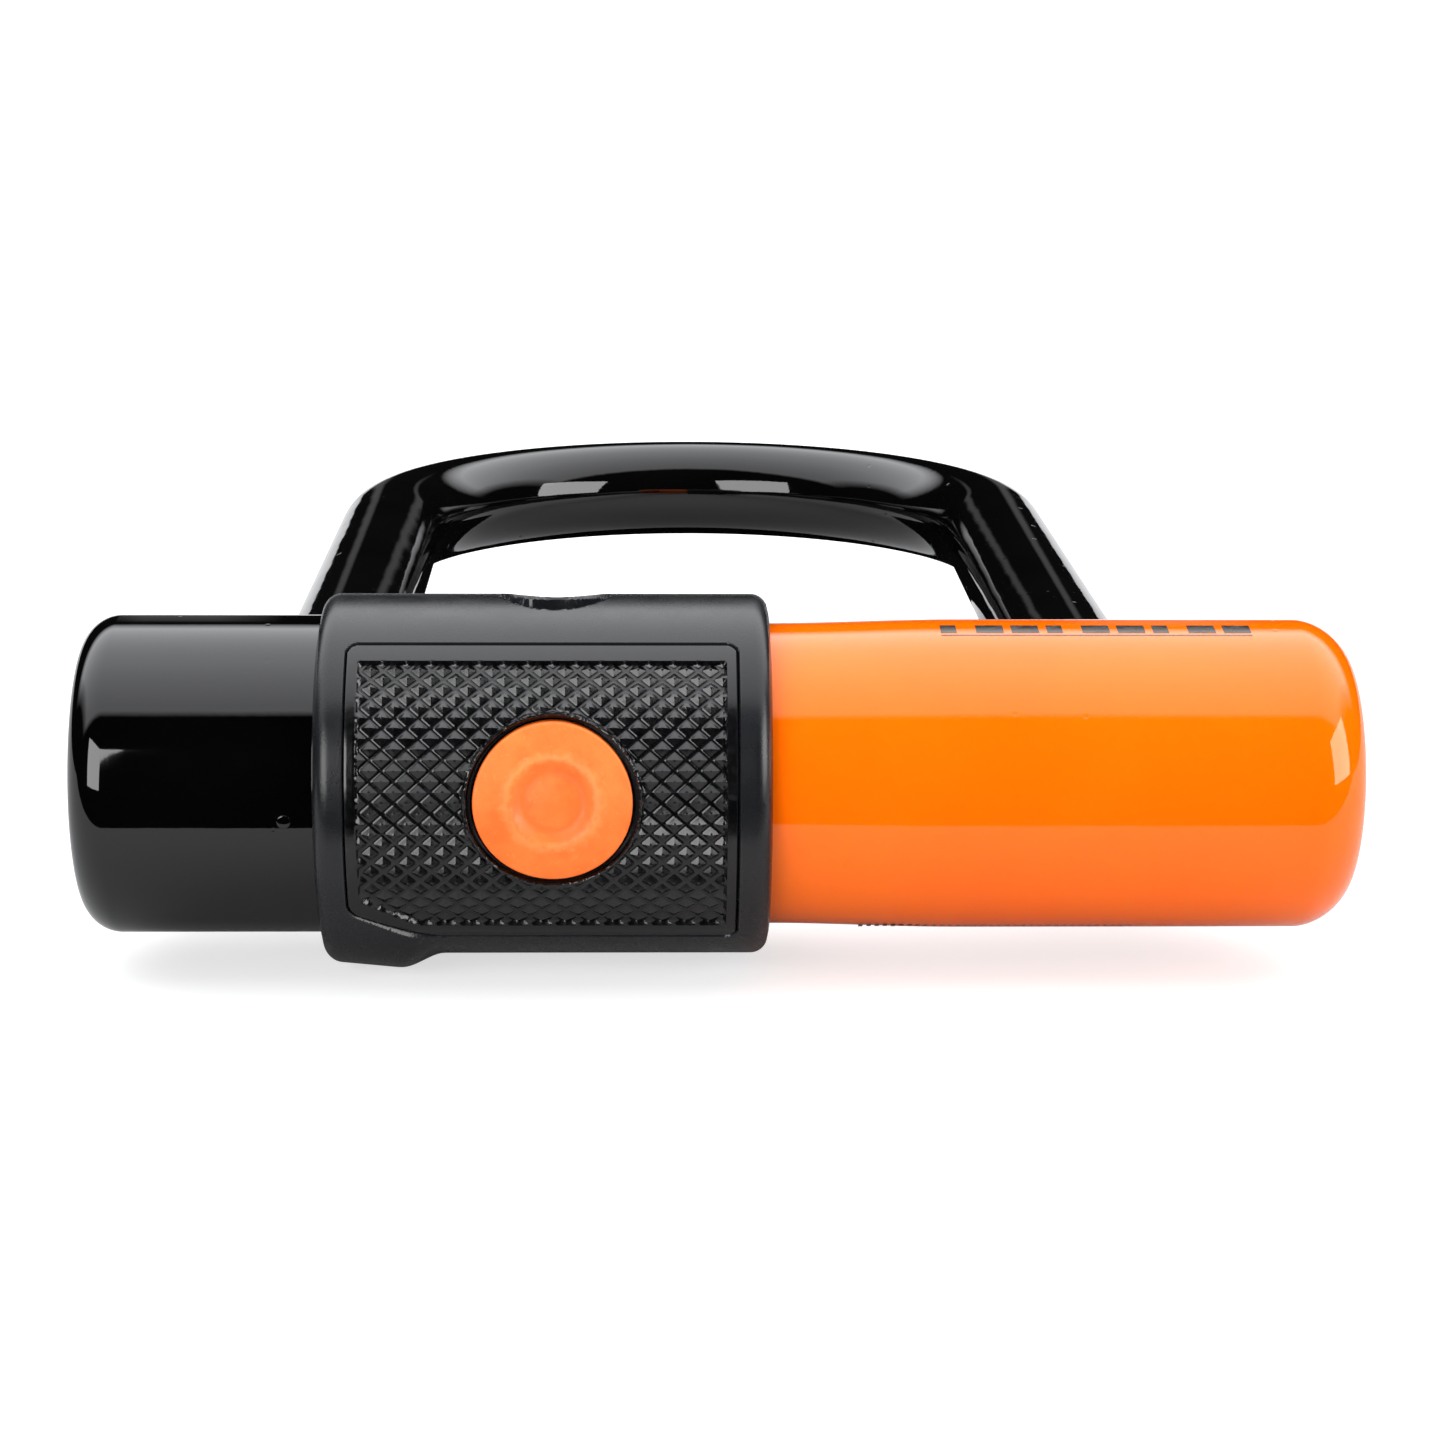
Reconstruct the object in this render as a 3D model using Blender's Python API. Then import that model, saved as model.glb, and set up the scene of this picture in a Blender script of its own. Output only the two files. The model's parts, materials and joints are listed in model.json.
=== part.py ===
"""A compact bicycle U-lock: a coated steel shackle whose two feet are held by a crossbar.

The crossbar is a hardened tube in two moulded sleeves. A disc cylinder stands across its middle, and its
cam drives two deadbolts along the tube into notches in the feet. A cover collar turns round the crossbar,
over the key hole. The shackle lies in the XY plane, with its bend towards +Y, the crossbar along X and the
key towards +Z. The origin is at the bottom centre of the whole lock. It is modelled closed, with the
deadbolts withdrawn.
"""

import math

import bmesh
import bpy
from mathutils import Matrix

# Every size is in metres. Unless a comment says otherwise, places are in the crossbar's own frame: X along
# its axis from the middle of its length, +Y towards the bend, +Z towards the key.
GAP = 0.0003

# Shackle
INNER_WIDTH = 0.0826
INNER_LENGTH = 0.1783
ROD_RADIUS = 0.0065
COATING_BORE = 0.0068
COATING_RADIUS = 0.0081
SHACKLE_X = -0.00085
LEG_OFFSET = INNER_WIDTH / 2 + COATING_RADIUS
FOOT_Y = -0.0090
COATING_END_Y = 0.0170
FOOT_CHAMFER = 0.0012
NOTCH_DEPTH = 0.0055
NOTCH_HALF_HEIGHT = 0.0050

# Crossbar
BAR_HALF_LENGTH = 0.07595
TUBE_RADIUS = 0.0163
TUBE_BORE = 0.0136
TUBE_LEFT = -0.0713
TUBE_RIGHT = 0.0698
PLUG_THICKNESS = 0.0062
END_PLUG_CHAMFER = 0.0008
SLEEVE_BORE = TUBE_RADIUS + GAP
BLACK_RADIUS = 0.01887
BLACK_CROWN = 0.0009
BLACK_CORNER = 0.0040
BLACK_END = -0.0387
ORANGE_RADIUS = 0.01839
ORANGE_NECK_RADIUS = 0.0179
ORANGE_NECK_END = 0.0280
ORANGE_CROWN = 0.0030
ORANGE_CORNER = 0.0050
ORANGE_END = -0.0080
FLAT_RADIUS = 0.0050
CENTRE_RADIUS = 0.0184
SEAL_GROOVE_RADIUS = 0.0174
SEAL_RADIUS = 0.0189
SEAL_WIDTH = 0.0016
SEAL_INSET = 0.0030
GROMMET_RADIUS = 0.0096
GROMMET_START = 0.0080
LEG_BORE_CLEARANCE = GAP + 0.0001

# Cover collar, in its own frame: the disc faces -Y and the key window +Z
COLLAR_LEFT = -0.0471
COLLAR_RIGHT = 0.0054
COLLAR_RADIUS = 0.0214
COLLAR_BORE = 0.0192
COLLAR_FILLET = 0.0020
COLLAR_REST_DEG = 4.8
COLLAR_STATIONS = (-0.0424, -0.0384, -0.0380, -0.0367, -0.0354, -0.0342, -0.0329)
WINDOW_RADIUS = 0.0061
WINDOW_MOUTH_RADIUS = 0.0073
WINDOW_MOUTH_BOTTOM = COLLAR_RADIUS - 0.0012
WINDOW_MOUTH_TOP = COLLAR_RADIUS + 0.0006
LEG_NOTCH_RIGHT = -0.0414
LEG_NOTCH_DEG = (99.0, 205.0)
LIP_LEFT_HEIGHT = 0.0009
LIP_HEIGHT = 0.0017
LIP_PEAK_X = -0.0384
LIP_FALL_X = -0.0380
LIP_END_X = -0.0329
LIP_HALF_DEG = 50.0
LIP_FLANK_DEG = 34.0

# Grip pad and dust plug
PAD_LEFT = -0.0433
PAD_RIGHT = 0.0014
PAD_HALF_DEG = 53.3
PAD_BOTTOM_RADIUS = 0.0206
PAD_TOP_RADIUS = 0.0213
PAD_SEAM_DEG = 0.9
PAD_CORNER_X = -0.0349
PAD_CORNER_DEG = 40.0
PAD_HOLE_RADIUS = 0.00987
PLUG_RADIUS = 0.0091
PLUG_BOTTOM_RADIUS = 0.0195
PLUG_TOP_RADIUS = 0.02145
DIMPLE_RADIUS = 0.0052
DIMPLE_FLOOR_RADIUS = 0.0033
DIMPLE_FLOOR = 0.0205

# Disc cylinder, in a frame on its own axis
CORE_X = -0.0197
HOUSING_RADIUS = 0.0090
HOUSING_NECK_RADIUS = 0.0077
HOUSING_BORE = 0.0069
HOUSING_BOTTOM = -0.0054
HOUSING_SHOULDER = 0.0132
HOUSING_TOP = 0.0168
SIDEBAR_GROOVE_DEPTH = 0.0006
BARREL_RADIUS = 0.0066
BARREL_BORE = 0.0049
BARREL_BOTTOM = -0.0052
BARREL_TOP = 0.0146
BARREL_ROOF = 0.0009
FACE_TOP = 0.0165
FACE_CHAMFER = 0.0004
KEYWAY_WIDTH = 0.0028
KEYWAY_LENGTH = 0.0064
DISC_COUNT = 7
DISC_RADIUS = 0.0046
DISC_THICKNESS = 0.0018
DISC_PITCH = 0.0024
DISC_BOTTOM = -0.0030
GATE_STEP = math.radians(24)
SIDEBAR_RADIUS = 0.0008
SIDEBAR_OFFSET = 0.00575
SIDEBAR_BOTTOM = -0.0028
SIDEBAR_TOP = 0.0130
SIDEBAR_CHAMFER = 0.0002

# Cam and deadbolts
BOLT_TRAVEL = 0.0055
CAM_PIN_OFFSET = BOLT_TRAVEL / math.sqrt(2)
CAM_PIN_RADIUS = 0.0013
CAM_RADIUS = 0.0062
CAM_TOP = -0.0058
CAM_BOTTOM = -0.0076
CAM_PIN_BOTTOM = -0.0109
CAM_STEM_RADIUS = 0.0030
CAM_STEM_TOP = -0.0036
BOLT_HALF_WIDTH = 0.0045
LEFT_BOLT_NOSE = -0.0432
LEFT_BOLT_HEEL = -0.03175
RIGHT_BOLT_NOSE = 0.04155
RIGHT_BOLT_HEEL = -0.00625
BOLT_WEB = 0.0025
BOLT_GUIDES = {
    "left_bolt_guide": (-0.0429, -0.0404),
    "middle_bolt_guide": (0.0040, 0.0090),
    "right_bolt_guide": (0.0340, 0.0390),
}
TAIL_TOP = -0.0079
TAIL_BOTTOM = -0.0106
TAIL_INNER_Y = 0.0006
TAIL_OUTER_Y = 0.0069
TAIL_SLOT_HALF_WIDTH = CAM_PIN_RADIUS + 0.00045
TAIL_SLOT_OUTER_Y = 0.0055
TAIL_END_WALL = 0.0014
CROSS_PIN_OFFSET = 0.0090
CROSS_PIN_RADIUS = 0.0013
CROSS_PIN_HALF_LENGTH = 0.0154
CROSS_PIN_CHAMFER = 0.0003
CROSS_PIN_Z = 0.0040

# The crossbar's axis in the lock's own frame, whose origin is at the bottom centre
BEND_Y = BLACK_RADIUS + INNER_LENGTH - INNER_WIDTH / 2
SHACKLE_TOP = BEND_Y + LEG_OFFSET + COATING_RADIUS
AXIS_Y = (PLUG_TOP_RADIUS - SHACKLE_TOP) / 2
AXIS_Z = COLLAR_RADIUS + LIP_HEIGHT

# How far a cutter runs past what it cuts
PAST = 0.0010

# Facets round a full turn
FINE = 36
COARSE = 20
MEDIUM = 32
PIN_SIDES = 16
ROD_SIDES = 16
BAR_SIDES = 10
SHARP_ANGLE = math.radians(32)

TURN_TO = {
    "X": Matrix.Identity(3),
    "Y": Matrix.Rotation(math.radians(90), 3, "Z"),
    "-Y": Matrix.Rotation(math.radians(-90), 3, "Z"),
    "Z": Matrix.Rotation(math.radians(-90), 3, "Y"),
}


def clear_scene():
    for thing in list(bpy.data.objects):
        bpy.data.objects.remove(thing, do_unlink=True)


def surface(name, colour, roughness, metallic=0.0):
    """A Principled material with one colour."""
    material = bpy.data.materials.new(name)
    material.use_nodes = True
    shader = material.node_tree.nodes["Principled BSDF"]
    shader.inputs["Base Color"].default_value = (*colour, 1.0)
    shader.inputs["Roughness"].default_value = roughness
    shader.inputs["Metallic"].default_value = metallic
    material.diffuse_color = (*colour, 1.0)
    return material


def frame_empty(name, parent=None, location=(0.0, 0.0, 0.0)):
    empty = bpy.data.objects.new(name, None)
    bpy.context.collection.objects.link(empty)
    empty.empty_display_size = 0.01
    empty.parent = parent
    empty.location = location
    return empty


def mesh_object(name, bm, material, parent):
    """Links a bmesh as one object with its faces outward and its round faces smooth."""
    bmesh.ops.recalc_face_normals(bm, faces=bm.faces)
    mesh = bpy.data.meshes.new(name)
    bm.to_mesh(mesh)
    bm.free()
    mesh.shade_smooth()
    mesh.set_sharp_from_angle(angle=SHARP_ANGLE)
    piece = bpy.data.objects.new(name, mesh)
    bpy.context.collection.objects.link(piece)
    piece.parent = parent
    if material:
        mesh.materials.append(material)
    return piece


def turned(name, outline, material, parent, axis="X", centre=(0.0, 0.0, 0.0), steps=FINE):
    """A solid of revolution from (along, radius) points: a closed ring, or a line from axis to axis."""
    bm = bmesh.new()
    verts = [bm.verts.new((along, radius, 0.0)) for along, radius in outline]
    hollow = outline[0][1] > 0.0
    following = verts[1:] + verts[:1] if hollow else verts[1:]
    edges = [bm.edges.new(pair) for pair in zip(verts, following)]
    bmesh.ops.spin(
        bm, geom=verts + edges, cent=(0, 0, 0), axis=(1, 0, 0), angle=math.tau, steps=steps, use_merge=True
    )
    bmesh.ops.remove_doubles(bm, verts=bm.verts, dist=1e-7)
    bmesh.ops.rotate(bm, verts=bm.verts, cent=(0, 0, 0), matrix=TURN_TO[axis])
    bmesh.ops.translate(bm, verts=bm.verts, vec=centre)
    return mesh_object(name, bm, material, parent)


def rod_outline(start, end, radius, chamfer=0.0):
    """The half outline of a plain round bar, its ends chamfered."""
    return [
        (start, 0.0),
        (start, radius - chamfer),
        *([(start + chamfer, radius), (end - chamfer, radius)] if chamfer else []),
        (end, radius - chamfer),
        (end, 0.0),
    ]


def tube_outline(start, end, bore, radius):
    return [(start, bore), (start, radius), (end, radius), (end, bore)]


def block(name, low, high, material, parent):
    """A box between two corners."""
    bm = bmesh.new()
    bmesh.ops.create_cube(bm, size=1.0)
    bmesh.ops.scale(bm, verts=bm.verts, vec=[b - a for a, b in zip(low, high)])
    bmesh.ops.translate(bm, verts=bm.verts, vec=[(a + b) / 2 for a, b in zip(low, high)])
    return mesh_object(name, bm, material, parent)


def combine(piece, other, operation="DIFFERENCE"):
    """Applies another object to a piece as a Boolean, and marks that object as a cutter."""
    modifier = piece.modifiers.new(other.name, "BOOLEAN")
    modifier.operation = operation
    modifier.solver = "EXACT"
    modifier.object = other
    other.hide_render = True
    other.display_type = "WIRE"


def drill(piece, label, start, end, radius, axis, centre=(0.0, 0.0, 0.0), steps=COARSE):
    """Cuts a round hole through a piece, in its parent's frame."""
    outline = rod_outline(start, end, radius)
    combine(piece, turned(f"cutter_{piece.name}_{label}", outline, None, piece.parent, axis, centre, steps))


def mill(piece, label, low, high):
    """Cuts a box out of a piece, in its parent's frame."""
    combine(piece, block(f"cutter_{piece.name}_{label}", low, high, None, piece.parent))


# ---------------------------------------------------------------- shackle


def shackle_stations(end_y):
    """Points down the middle of the bar, each with the direction across it, from foot to foot."""
    bend_steps = 18
    stations = [((-LEG_OFFSET, end_y), (-1.0, 0.0)), ((-LEG_OFFSET, 0.5 * (end_y + BEND_Y)), (-1.0, 0.0))]
    for step in range(bend_steps + 1):
        angle = math.pi * (1 - step / bend_steps)
        across = (math.cos(angle), math.sin(angle))
        stations.append(((LEG_OFFSET * across[0], BEND_Y + LEG_OFFSET * across[1]), across))
    stations.append(((LEG_OFFSET, 0.5 * (end_y + BEND_Y)), (1.0, 0.0)))
    stations.append(((LEG_OFFSET, end_y), (1.0, 0.0)))
    return stations


def swept_rings(bm, stations, radius, steps):
    """Rings of points round each station of the shackle's middle line."""
    rings = []
    for (x, y), (across_x, across_y) in stations:
        ring = []
        for step in range(steps):
            angle = math.tau * step / steps
            out = radius * math.cos(angle)
            ring.append(bm.verts.new((x + out * across_x, y + out * across_y, radius * math.sin(angle))))
        rings.append(ring)
    return rings


def bridge(bm, ring, following):
    """Joins two rings of equal count with a band of faces."""
    count = len(ring)
    for step in range(count):
        after = (step + 1) % count
        bm.faces.new((ring[step], ring[after], following[after], following[step]))


def shackle_rod(material, parent):
    bm = bmesh.new()
    stations = shackle_stations(FOOT_Y + FOOT_CHAMFER)
    rings = swept_rings(bm, stations, ROD_RADIUS, ROD_SIDES)
    tips = [((x, FOOT_Y), across) for (x, _), across in (stations[0], stations[-1])]
    first, last = swept_rings(bm, tips, ROD_RADIUS - FOOT_CHAMFER, ROD_SIDES)
    rings = [first, *rings, last]
    for ring, following in zip(rings, rings[1:]):
        bridge(bm, ring, following)
    bm.faces.new(rings[0])
    bm.faces.new(rings[-1])
    rod = mesh_object("shackle_rod", bm, material, parent)
    for side, label in ((-1, "left_notch"), (1, "right_notch")):
        inner = side * (LEG_OFFSET - ROD_RADIUS - GAP)
        floor = side * (LEG_OFFSET - ROD_RADIUS + NOTCH_DEPTH)
        low = (min(inner, floor), -NOTCH_HALF_HEIGHT, -ROD_RADIUS - GAP)
        high = (max(inner, floor), NOTCH_HALF_HEIGHT, ROD_RADIUS + GAP)
        mill(rod, label, low, high)


def shackle_coating(material, parent):
    bm = bmesh.new()
    stations = shackle_stations(COATING_END_Y)
    outer = swept_rings(bm, stations, COATING_RADIUS, COARSE)
    inner = swept_rings(bm, stations, COATING_BORE, COARSE)
    loop = [*outer, *reversed(inner), outer[0]]
    for ring, following in zip(loop, loop[1:]):
        bridge(bm, ring, following)
    mesh_object("shackle_coating", bm, material, parent)


# ---------------------------------------------------------------- crossbar


def rounded_end(length, radius, crown, corner, steps=6):
    """(along, radius) points from a flat centre over a shallow crown, then round a corner."""
    points = [(0.0, 0.0), (0.0, FLAT_RADIUS)]
    straight = radius - corner
    for step in range(1, 3):
        out = FLAT_RADIUS + (straight - FLAT_RADIUS) * step / 2
        points.append((crown * (out**2 - FLAT_RADIUS**2) / radius**2, out))
    for step in range(1, steps):
        angle = 0.5 * math.pi * step / (steps - 1)
        out = straight + corner * math.sin(angle)
        dome = crown * (out**2 - FLAT_RADIUS**2) / radius**2
        points.append((dome + corner * (1 - math.cos(angle)), out))
    return [(depth + length, out) for depth, out in points]


def leg_bores(piece, radius):
    """Cuts the two shackle holes through the crossbar's +Y wall."""
    for side, label in ((-1, "left_leg"), (1, "right_leg")):
        centre = (SHACKLE_X + side * LEG_OFFSET, 0.0, 0.0)
        drill(piece, label, 0.0, COLLAR_RADIUS, radius, "Y", centre)


def crossbar_tube(material, parent):
    outline = tube_outline(TUBE_LEFT, TUBE_RIGHT, TUBE_BORE, TUBE_RADIUS)
    tube = turned("crossbar_tube", outline, material, parent)
    leg_bores(tube, ROD_RADIUS + LEG_BORE_CLEARANCE)
    drill(tube, "cylinder", 0.0, COLLAR_RADIUS, HOUSING_RADIUS + GAP, "Z", (CORE_X, 0.0, 0.0))
    for side, label in ((-1, "left_pin"), (1, "right_pin")):
        centre = (CORE_X + side * CROSS_PIN_OFFSET, 0.0, CROSS_PIN_Z)
        drill(tube, label, -COLLAR_RADIUS, COLLAR_RADIUS, CROSS_PIN_RADIUS + GAP, "Y", centre, PIN_SIDES)


def end_plugs(material, parent):
    for name, start in (("left_end_plug", TUBE_LEFT), ("right_end_plug", TUBE_RIGHT - PLUG_THICKNESS)):
        outline = rod_outline(start, start + PLUG_THICKNESS, TUBE_BORE - GAP, END_PLUG_CHAMFER)
        turned(name, outline, material, parent)


def black_sleeve(material, parent):
    cap = rounded_end(-BAR_HALF_LENGTH, BLACK_RADIUS, BLACK_CROWN, BLACK_CORNER)
    bore = [(BLACK_END, BLACK_RADIUS), (BLACK_END, SLEEVE_BORE), (TUBE_LEFT - GAP, SLEEVE_BORE)]
    sleeve = turned("black_sleeve", [*cap, *bore, (TUBE_LEFT - GAP, 0.0)], material, parent)
    leg_bores(sleeve, GROMMET_RADIUS + GAP)


def orange_sleeve(material, parent):
    cap = rounded_end(-BAR_HALF_LENGTH, ORANGE_RADIUS, ORANGE_CROWN, ORANGE_CORNER)
    cap = [(-along, radius) for along, radius in cap]
    neck = [
        (ORANGE_NECK_END, ORANGE_RADIUS),
        (COLLAR_RIGHT, ORANGE_NECK_RADIUS),
        (ORANGE_END, ORANGE_NECK_RADIUS),
    ]
    bore = [(ORANGE_END, SLEEVE_BORE), (TUBE_RIGHT + GAP, SLEEVE_BORE), (TUBE_RIGHT + GAP, 0.0)]
    sleeve = turned("orange_sleeve", [*cap, *neck, *bore], material, parent)
    leg_bores(sleeve, GROMMET_RADIUS + GAP)


def centre_sleeve(material, parent):
    """The plain sleeve that the cover collar turns on, with a seal groove near each end."""
    left = BLACK_END + GAP
    right = ORANGE_END - GAP
    outline = [(left, SLEEVE_BORE), (left, CENTRE_RADIUS)]
    for middle in seal_middles():
        half = SEAL_WIDTH / 2 + GAP
        outline += [(middle - half, CENTRE_RADIUS), (middle - half, SEAL_GROOVE_RADIUS)]
        outline += [(middle + half, SEAL_GROOVE_RADIUS), (middle + half, CENTRE_RADIUS)]
    outline += [(right, CENTRE_RADIUS), (right, SLEEVE_BORE)]
    sleeve = turned("centre_sleeve", outline, material, parent)
    drill(sleeve, "key", 0.0, COLLAR_RADIUS, HOUSING_NECK_RADIUS + GAP, "Z", (CORE_X, 0.0, 0.0))


def seal_middles():
    return (BLACK_END + SEAL_INSET, ORANGE_END - SEAL_INSET)


def collar_seals(material, parent):
    for name, middle in zip(("left_collar_seal", "right_collar_seal"), seal_middles()):
        half = SEAL_WIDTH / 2
        outline = tube_outline(middle - half, middle + half, SEAL_GROOVE_RADIUS + GAP, SEAL_RADIUS)
        turned(name, outline, material, parent)


def leg_grommets(material, parent):
    """A rubber bush flush with the sleeve round each shackle leg."""
    for side, label in ((-1, "left"), (1, "right")):
        centre_x = SHACKLE_X + side * LEG_OFFSET
        radius = BLACK_RADIUS if side < 0 else ORANGE_RADIUS
        outline = tube_outline(GROMMET_START, COLLAR_RADIUS, COATING_RADIUS + GAP, GROMMET_RADIUS)
        centre = (centre_x, 0.0, 0.0)
        grommet = turned(f"{label}_leg_grommet", outline, material, parent, "Y", centre, COARSE)
        reach = GROMMET_RADIUS + 2 * PAST
        shell = tube_outline(centre_x - reach, centre_x + reach, SLEEVE_BORE, radius)
        combine(grommet, turned(f"cutter_{label}_leg_grommet", shell, None, parent), "INTERSECT")


# ---------------------------------------------------------------- disc cylinder


def cylinder_housing(material, parent):
    outline = [
        (HOUSING_BOTTOM, HOUSING_BORE),
        (HOUSING_BOTTOM, HOUSING_RADIUS),
        (HOUSING_SHOULDER, HOUSING_RADIUS),
        (HOUSING_SHOULDER, HOUSING_NECK_RADIUS),
        (HOUSING_TOP, HOUSING_NECK_RADIUS),
        (HOUSING_TOP, HOUSING_BORE),
    ]
    housing = turned("cylinder_housing", outline, material, parent, "Z", (CORE_X, 0.0, 0.0), COARSE + 4)
    groove = SIDEBAR_RADIUS + GAP
    low = (CORE_X - groove, -HOUSING_BORE - SIDEBAR_GROOVE_DEPTH, SIDEBAR_BOTTOM)
    mill(housing, "sidebar", low, (CORE_X + groove, -BARREL_RADIUS + PAST, SIDEBAR_TOP))
    for side, label in ((-1, "left_pin"), (1, "right_pin")):
        centre = (CORE_X + side * CROSS_PIN_OFFSET, 0.0, CROSS_PIN_Z)
        drill(housing, label, -COLLAR_RADIUS, COLLAR_RADIUS, CROSS_PIN_RADIUS + GAP, "Y", centre, PIN_SIDES)


def cylinder_pins(material, parent):
    """Two cross pins through the tube, each lying in a groove down the housing's side."""
    for side, label in ((-1, "left"), (1, "right")):
        centre = (CORE_X + side * CROSS_PIN_OFFSET, 0.0, CROSS_PIN_Z)
        reach = CROSS_PIN_HALF_LENGTH
        outline = rod_outline(-reach, reach, CROSS_PIN_RADIUS, CROSS_PIN_CHAMFER)
        turned(f"{label}_cylinder_pin", outline, material, parent, "Y", centre, PIN_SIDES)


def cut_keyway(piece, bottom, top):
    """Cuts the key's flat slot through a piece of the core."""
    half_width = KEYWAY_WIDTH / 2
    half_length = KEYWAY_LENGTH / 2
    mill(piece, "keyway", (-half_width, -half_length, bottom), (half_width, half_length, top))


def core_barrel(material, parent):
    """The turning drum, open below, with a slot down one side for the sidebar."""
    outline = [
        (BARREL_TOP, 0.0),
        (BARREL_TOP, BARREL_RADIUS),
        (BARREL_BOTTOM, BARREL_RADIUS),
        (BARREL_BOTTOM, BARREL_BORE),
        (BARREL_TOP - BARREL_ROOF, BARREL_BORE),
        (BARREL_TOP - BARREL_ROOF, 0.0),
    ]
    barrel = turned("core_barrel", outline, material, parent, "Z", steps=COARSE)
    cut_keyway(barrel, BARREL_TOP - BARREL_ROOF - PAST, BARREL_TOP + PAST)
    groove = SIDEBAR_RADIUS + GAP
    low = (-BARREL_RADIUS - GAP, -groove, SIDEBAR_BOTTOM - GAP)
    mill(barrel, "sidebar", low, (-BARREL_BORE + GAP, groove, SIDEBAR_TOP + GAP))


def key_face(material, parent):
    """The hardened disc at the mouth of the core."""
    outline = rod_outline(BARREL_TOP + GAP, FACE_TOP, BARREL_RADIUS, FACE_CHAMFER)
    face = turned("key_face_disc", outline, material, parent, "Z", steps=COARSE)
    cut_keyway(face, BARREL_TOP - PAST, FACE_TOP + PAST)


def locking_discs(material, parent):
    """A stack of slotted discs, each with its gate at its own angle round the rim."""
    for index in range(DISC_COUNT):
        bottom = DISC_BOTTOM + index * DISC_PITCH
        outline = rod_outline(bottom, bottom + DISC_THICKNESS, DISC_RADIUS)
        disc = turned(f"locking_disc_{index + 1}", outline, material, parent, "Z", steps=COARSE)
        cut_keyway(disc, bottom - PAST, bottom + DISC_THICKNESS + PAST)
        gate_angle = math.pi + GATE_STEP * ((index * 3) % 5 - 2)
        centre = (DISC_RADIUS * math.cos(gate_angle), DISC_RADIUS * math.sin(gate_angle), 0.0)
        top = bottom + DISC_THICKNESS
        drill(disc, "gate", bottom - PAST, top + PAST, SIDEBAR_RADIUS, "Z", centre, BAR_SIDES)


def sidebar(material, parent):
    outline = rod_outline(SIDEBAR_BOTTOM, SIDEBAR_TOP, SIDEBAR_RADIUS, SIDEBAR_CHAMFER)
    turned("sidebar", outline, material, parent, "Z", (-SIDEBAR_OFFSET, 0.0, 0.0), BAR_SIDES)


def bolt_cam(material, parent):
    """A round cam with a stem into the barrel and two pins below, one for each deadbolt."""
    outline = [
        (CAM_BOTTOM, 0.0),
        (CAM_BOTTOM, CAM_RADIUS),
        (CAM_TOP, CAM_RADIUS),
        (CAM_TOP, CAM_STEM_RADIUS),
        (CAM_STEM_TOP, CAM_STEM_RADIUS),
        (CAM_STEM_TOP, 0.0),
    ]
    cam = turned("bolt_cam", outline, material, parent, "Z", steps=COARSE)
    for angle_deg, label in ((45, "left_bolt_pin"), (225, "right_bolt_pin")):
        angle = math.radians(angle_deg)
        centre = (CAM_PIN_OFFSET * math.cos(angle), CAM_PIN_OFFSET * math.sin(angle), 0.0)
        pin_outline = rod_outline(CAM_PIN_BOTTOM, CAM_TOP - PAST / 2, CAM_PIN_RADIUS)
        pin = turned(f"cutter_cam_{label}", pin_outline, None, parent, "Z", centre, PIN_SIDES)
        combine(cam, pin, "UNION")


def bent_plate(name, outline, y_range, material, parent):
    """A flat outline of (x, z) points, extruded along Y."""
    bm = bmesh.new()
    face = bm.faces.new([bm.verts.new((x, y_range[0], z)) for x, z in outline])
    copied = bmesh.ops.extrude_face_region(bm, geom=[face])["geom"]
    moved = [item for item in copied if isinstance(item, bmesh.types.BMVert)]
    bmesh.ops.translate(bm, verts=moved, vec=(0.0, y_range[1] - y_range[0], 0.0))
    return mesh_object(name, bm, material, parent)


def deadbolt(name, nose, heel, side, material, parent):
    """A square bolt with a web down to a low tail, which a cam pin drives by an open slot."""
    low_x, high_x = min(nose, heel), max(nose, heel)
    half = BOLT_HALF_WIDTH
    bolt = block(name, (low_x, -half, -half), (high_x, half, half), material, parent)
    slot_x = CORE_X + side * CAM_PIN_OFFSET * math.cos(math.radians(45))
    tail_tip = slot_x + side * (TAIL_SLOT_HALF_WIDTH + TAIL_END_WALL)
    web_outer = heel - side * (BOLT_WEB + GAP)
    web_inner = heel - side * GAP
    outline = [
        (web_outer, TAIL_BOTTOM),
        (tail_tip, TAIL_BOTTOM),
        (tail_tip, TAIL_TOP),
        (web_inner, TAIL_TOP),
        (web_inner, 0.0),
        (web_outer, 0.0),
    ]
    y_range = (side * TAIL_INNER_Y, side * TAIL_OUTER_Y)
    tail = bent_plate(f"cutter_{name}_tail", outline, y_range, None, parent)
    combine(bolt, tail, "UNION")
    slot_ys = sorted((0.0, side * TAIL_SLOT_OUTER_Y))
    low = (slot_x - TAIL_SLOT_HALF_WIDTH, slot_ys[0], TAIL_BOTTOM - PAST)
    high = (slot_x + TAIL_SLOT_HALF_WIDTH, slot_ys[1], TAIL_TOP + PAST)
    mill(bolt, "slot", low, high)


def bolt_guides(material, parent):
    """Discs across the tube that the deadbolts slide through."""
    half = BOLT_HALF_WIDTH + GAP
    for name, (start, end) in BOLT_GUIDES.items():
        guide = turned(name, rod_outline(start, end, TUBE_BORE - GAP), material, parent)
        mill(guide, "way", (start - PAST, -half, -half), (end + PAST, half, half))


# ---------------------------------------------------------------- cover collar


def smooth_step(value):
    value = min(1.0, max(0.0, value))
    return value * value * (3 - 2 * value)


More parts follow.
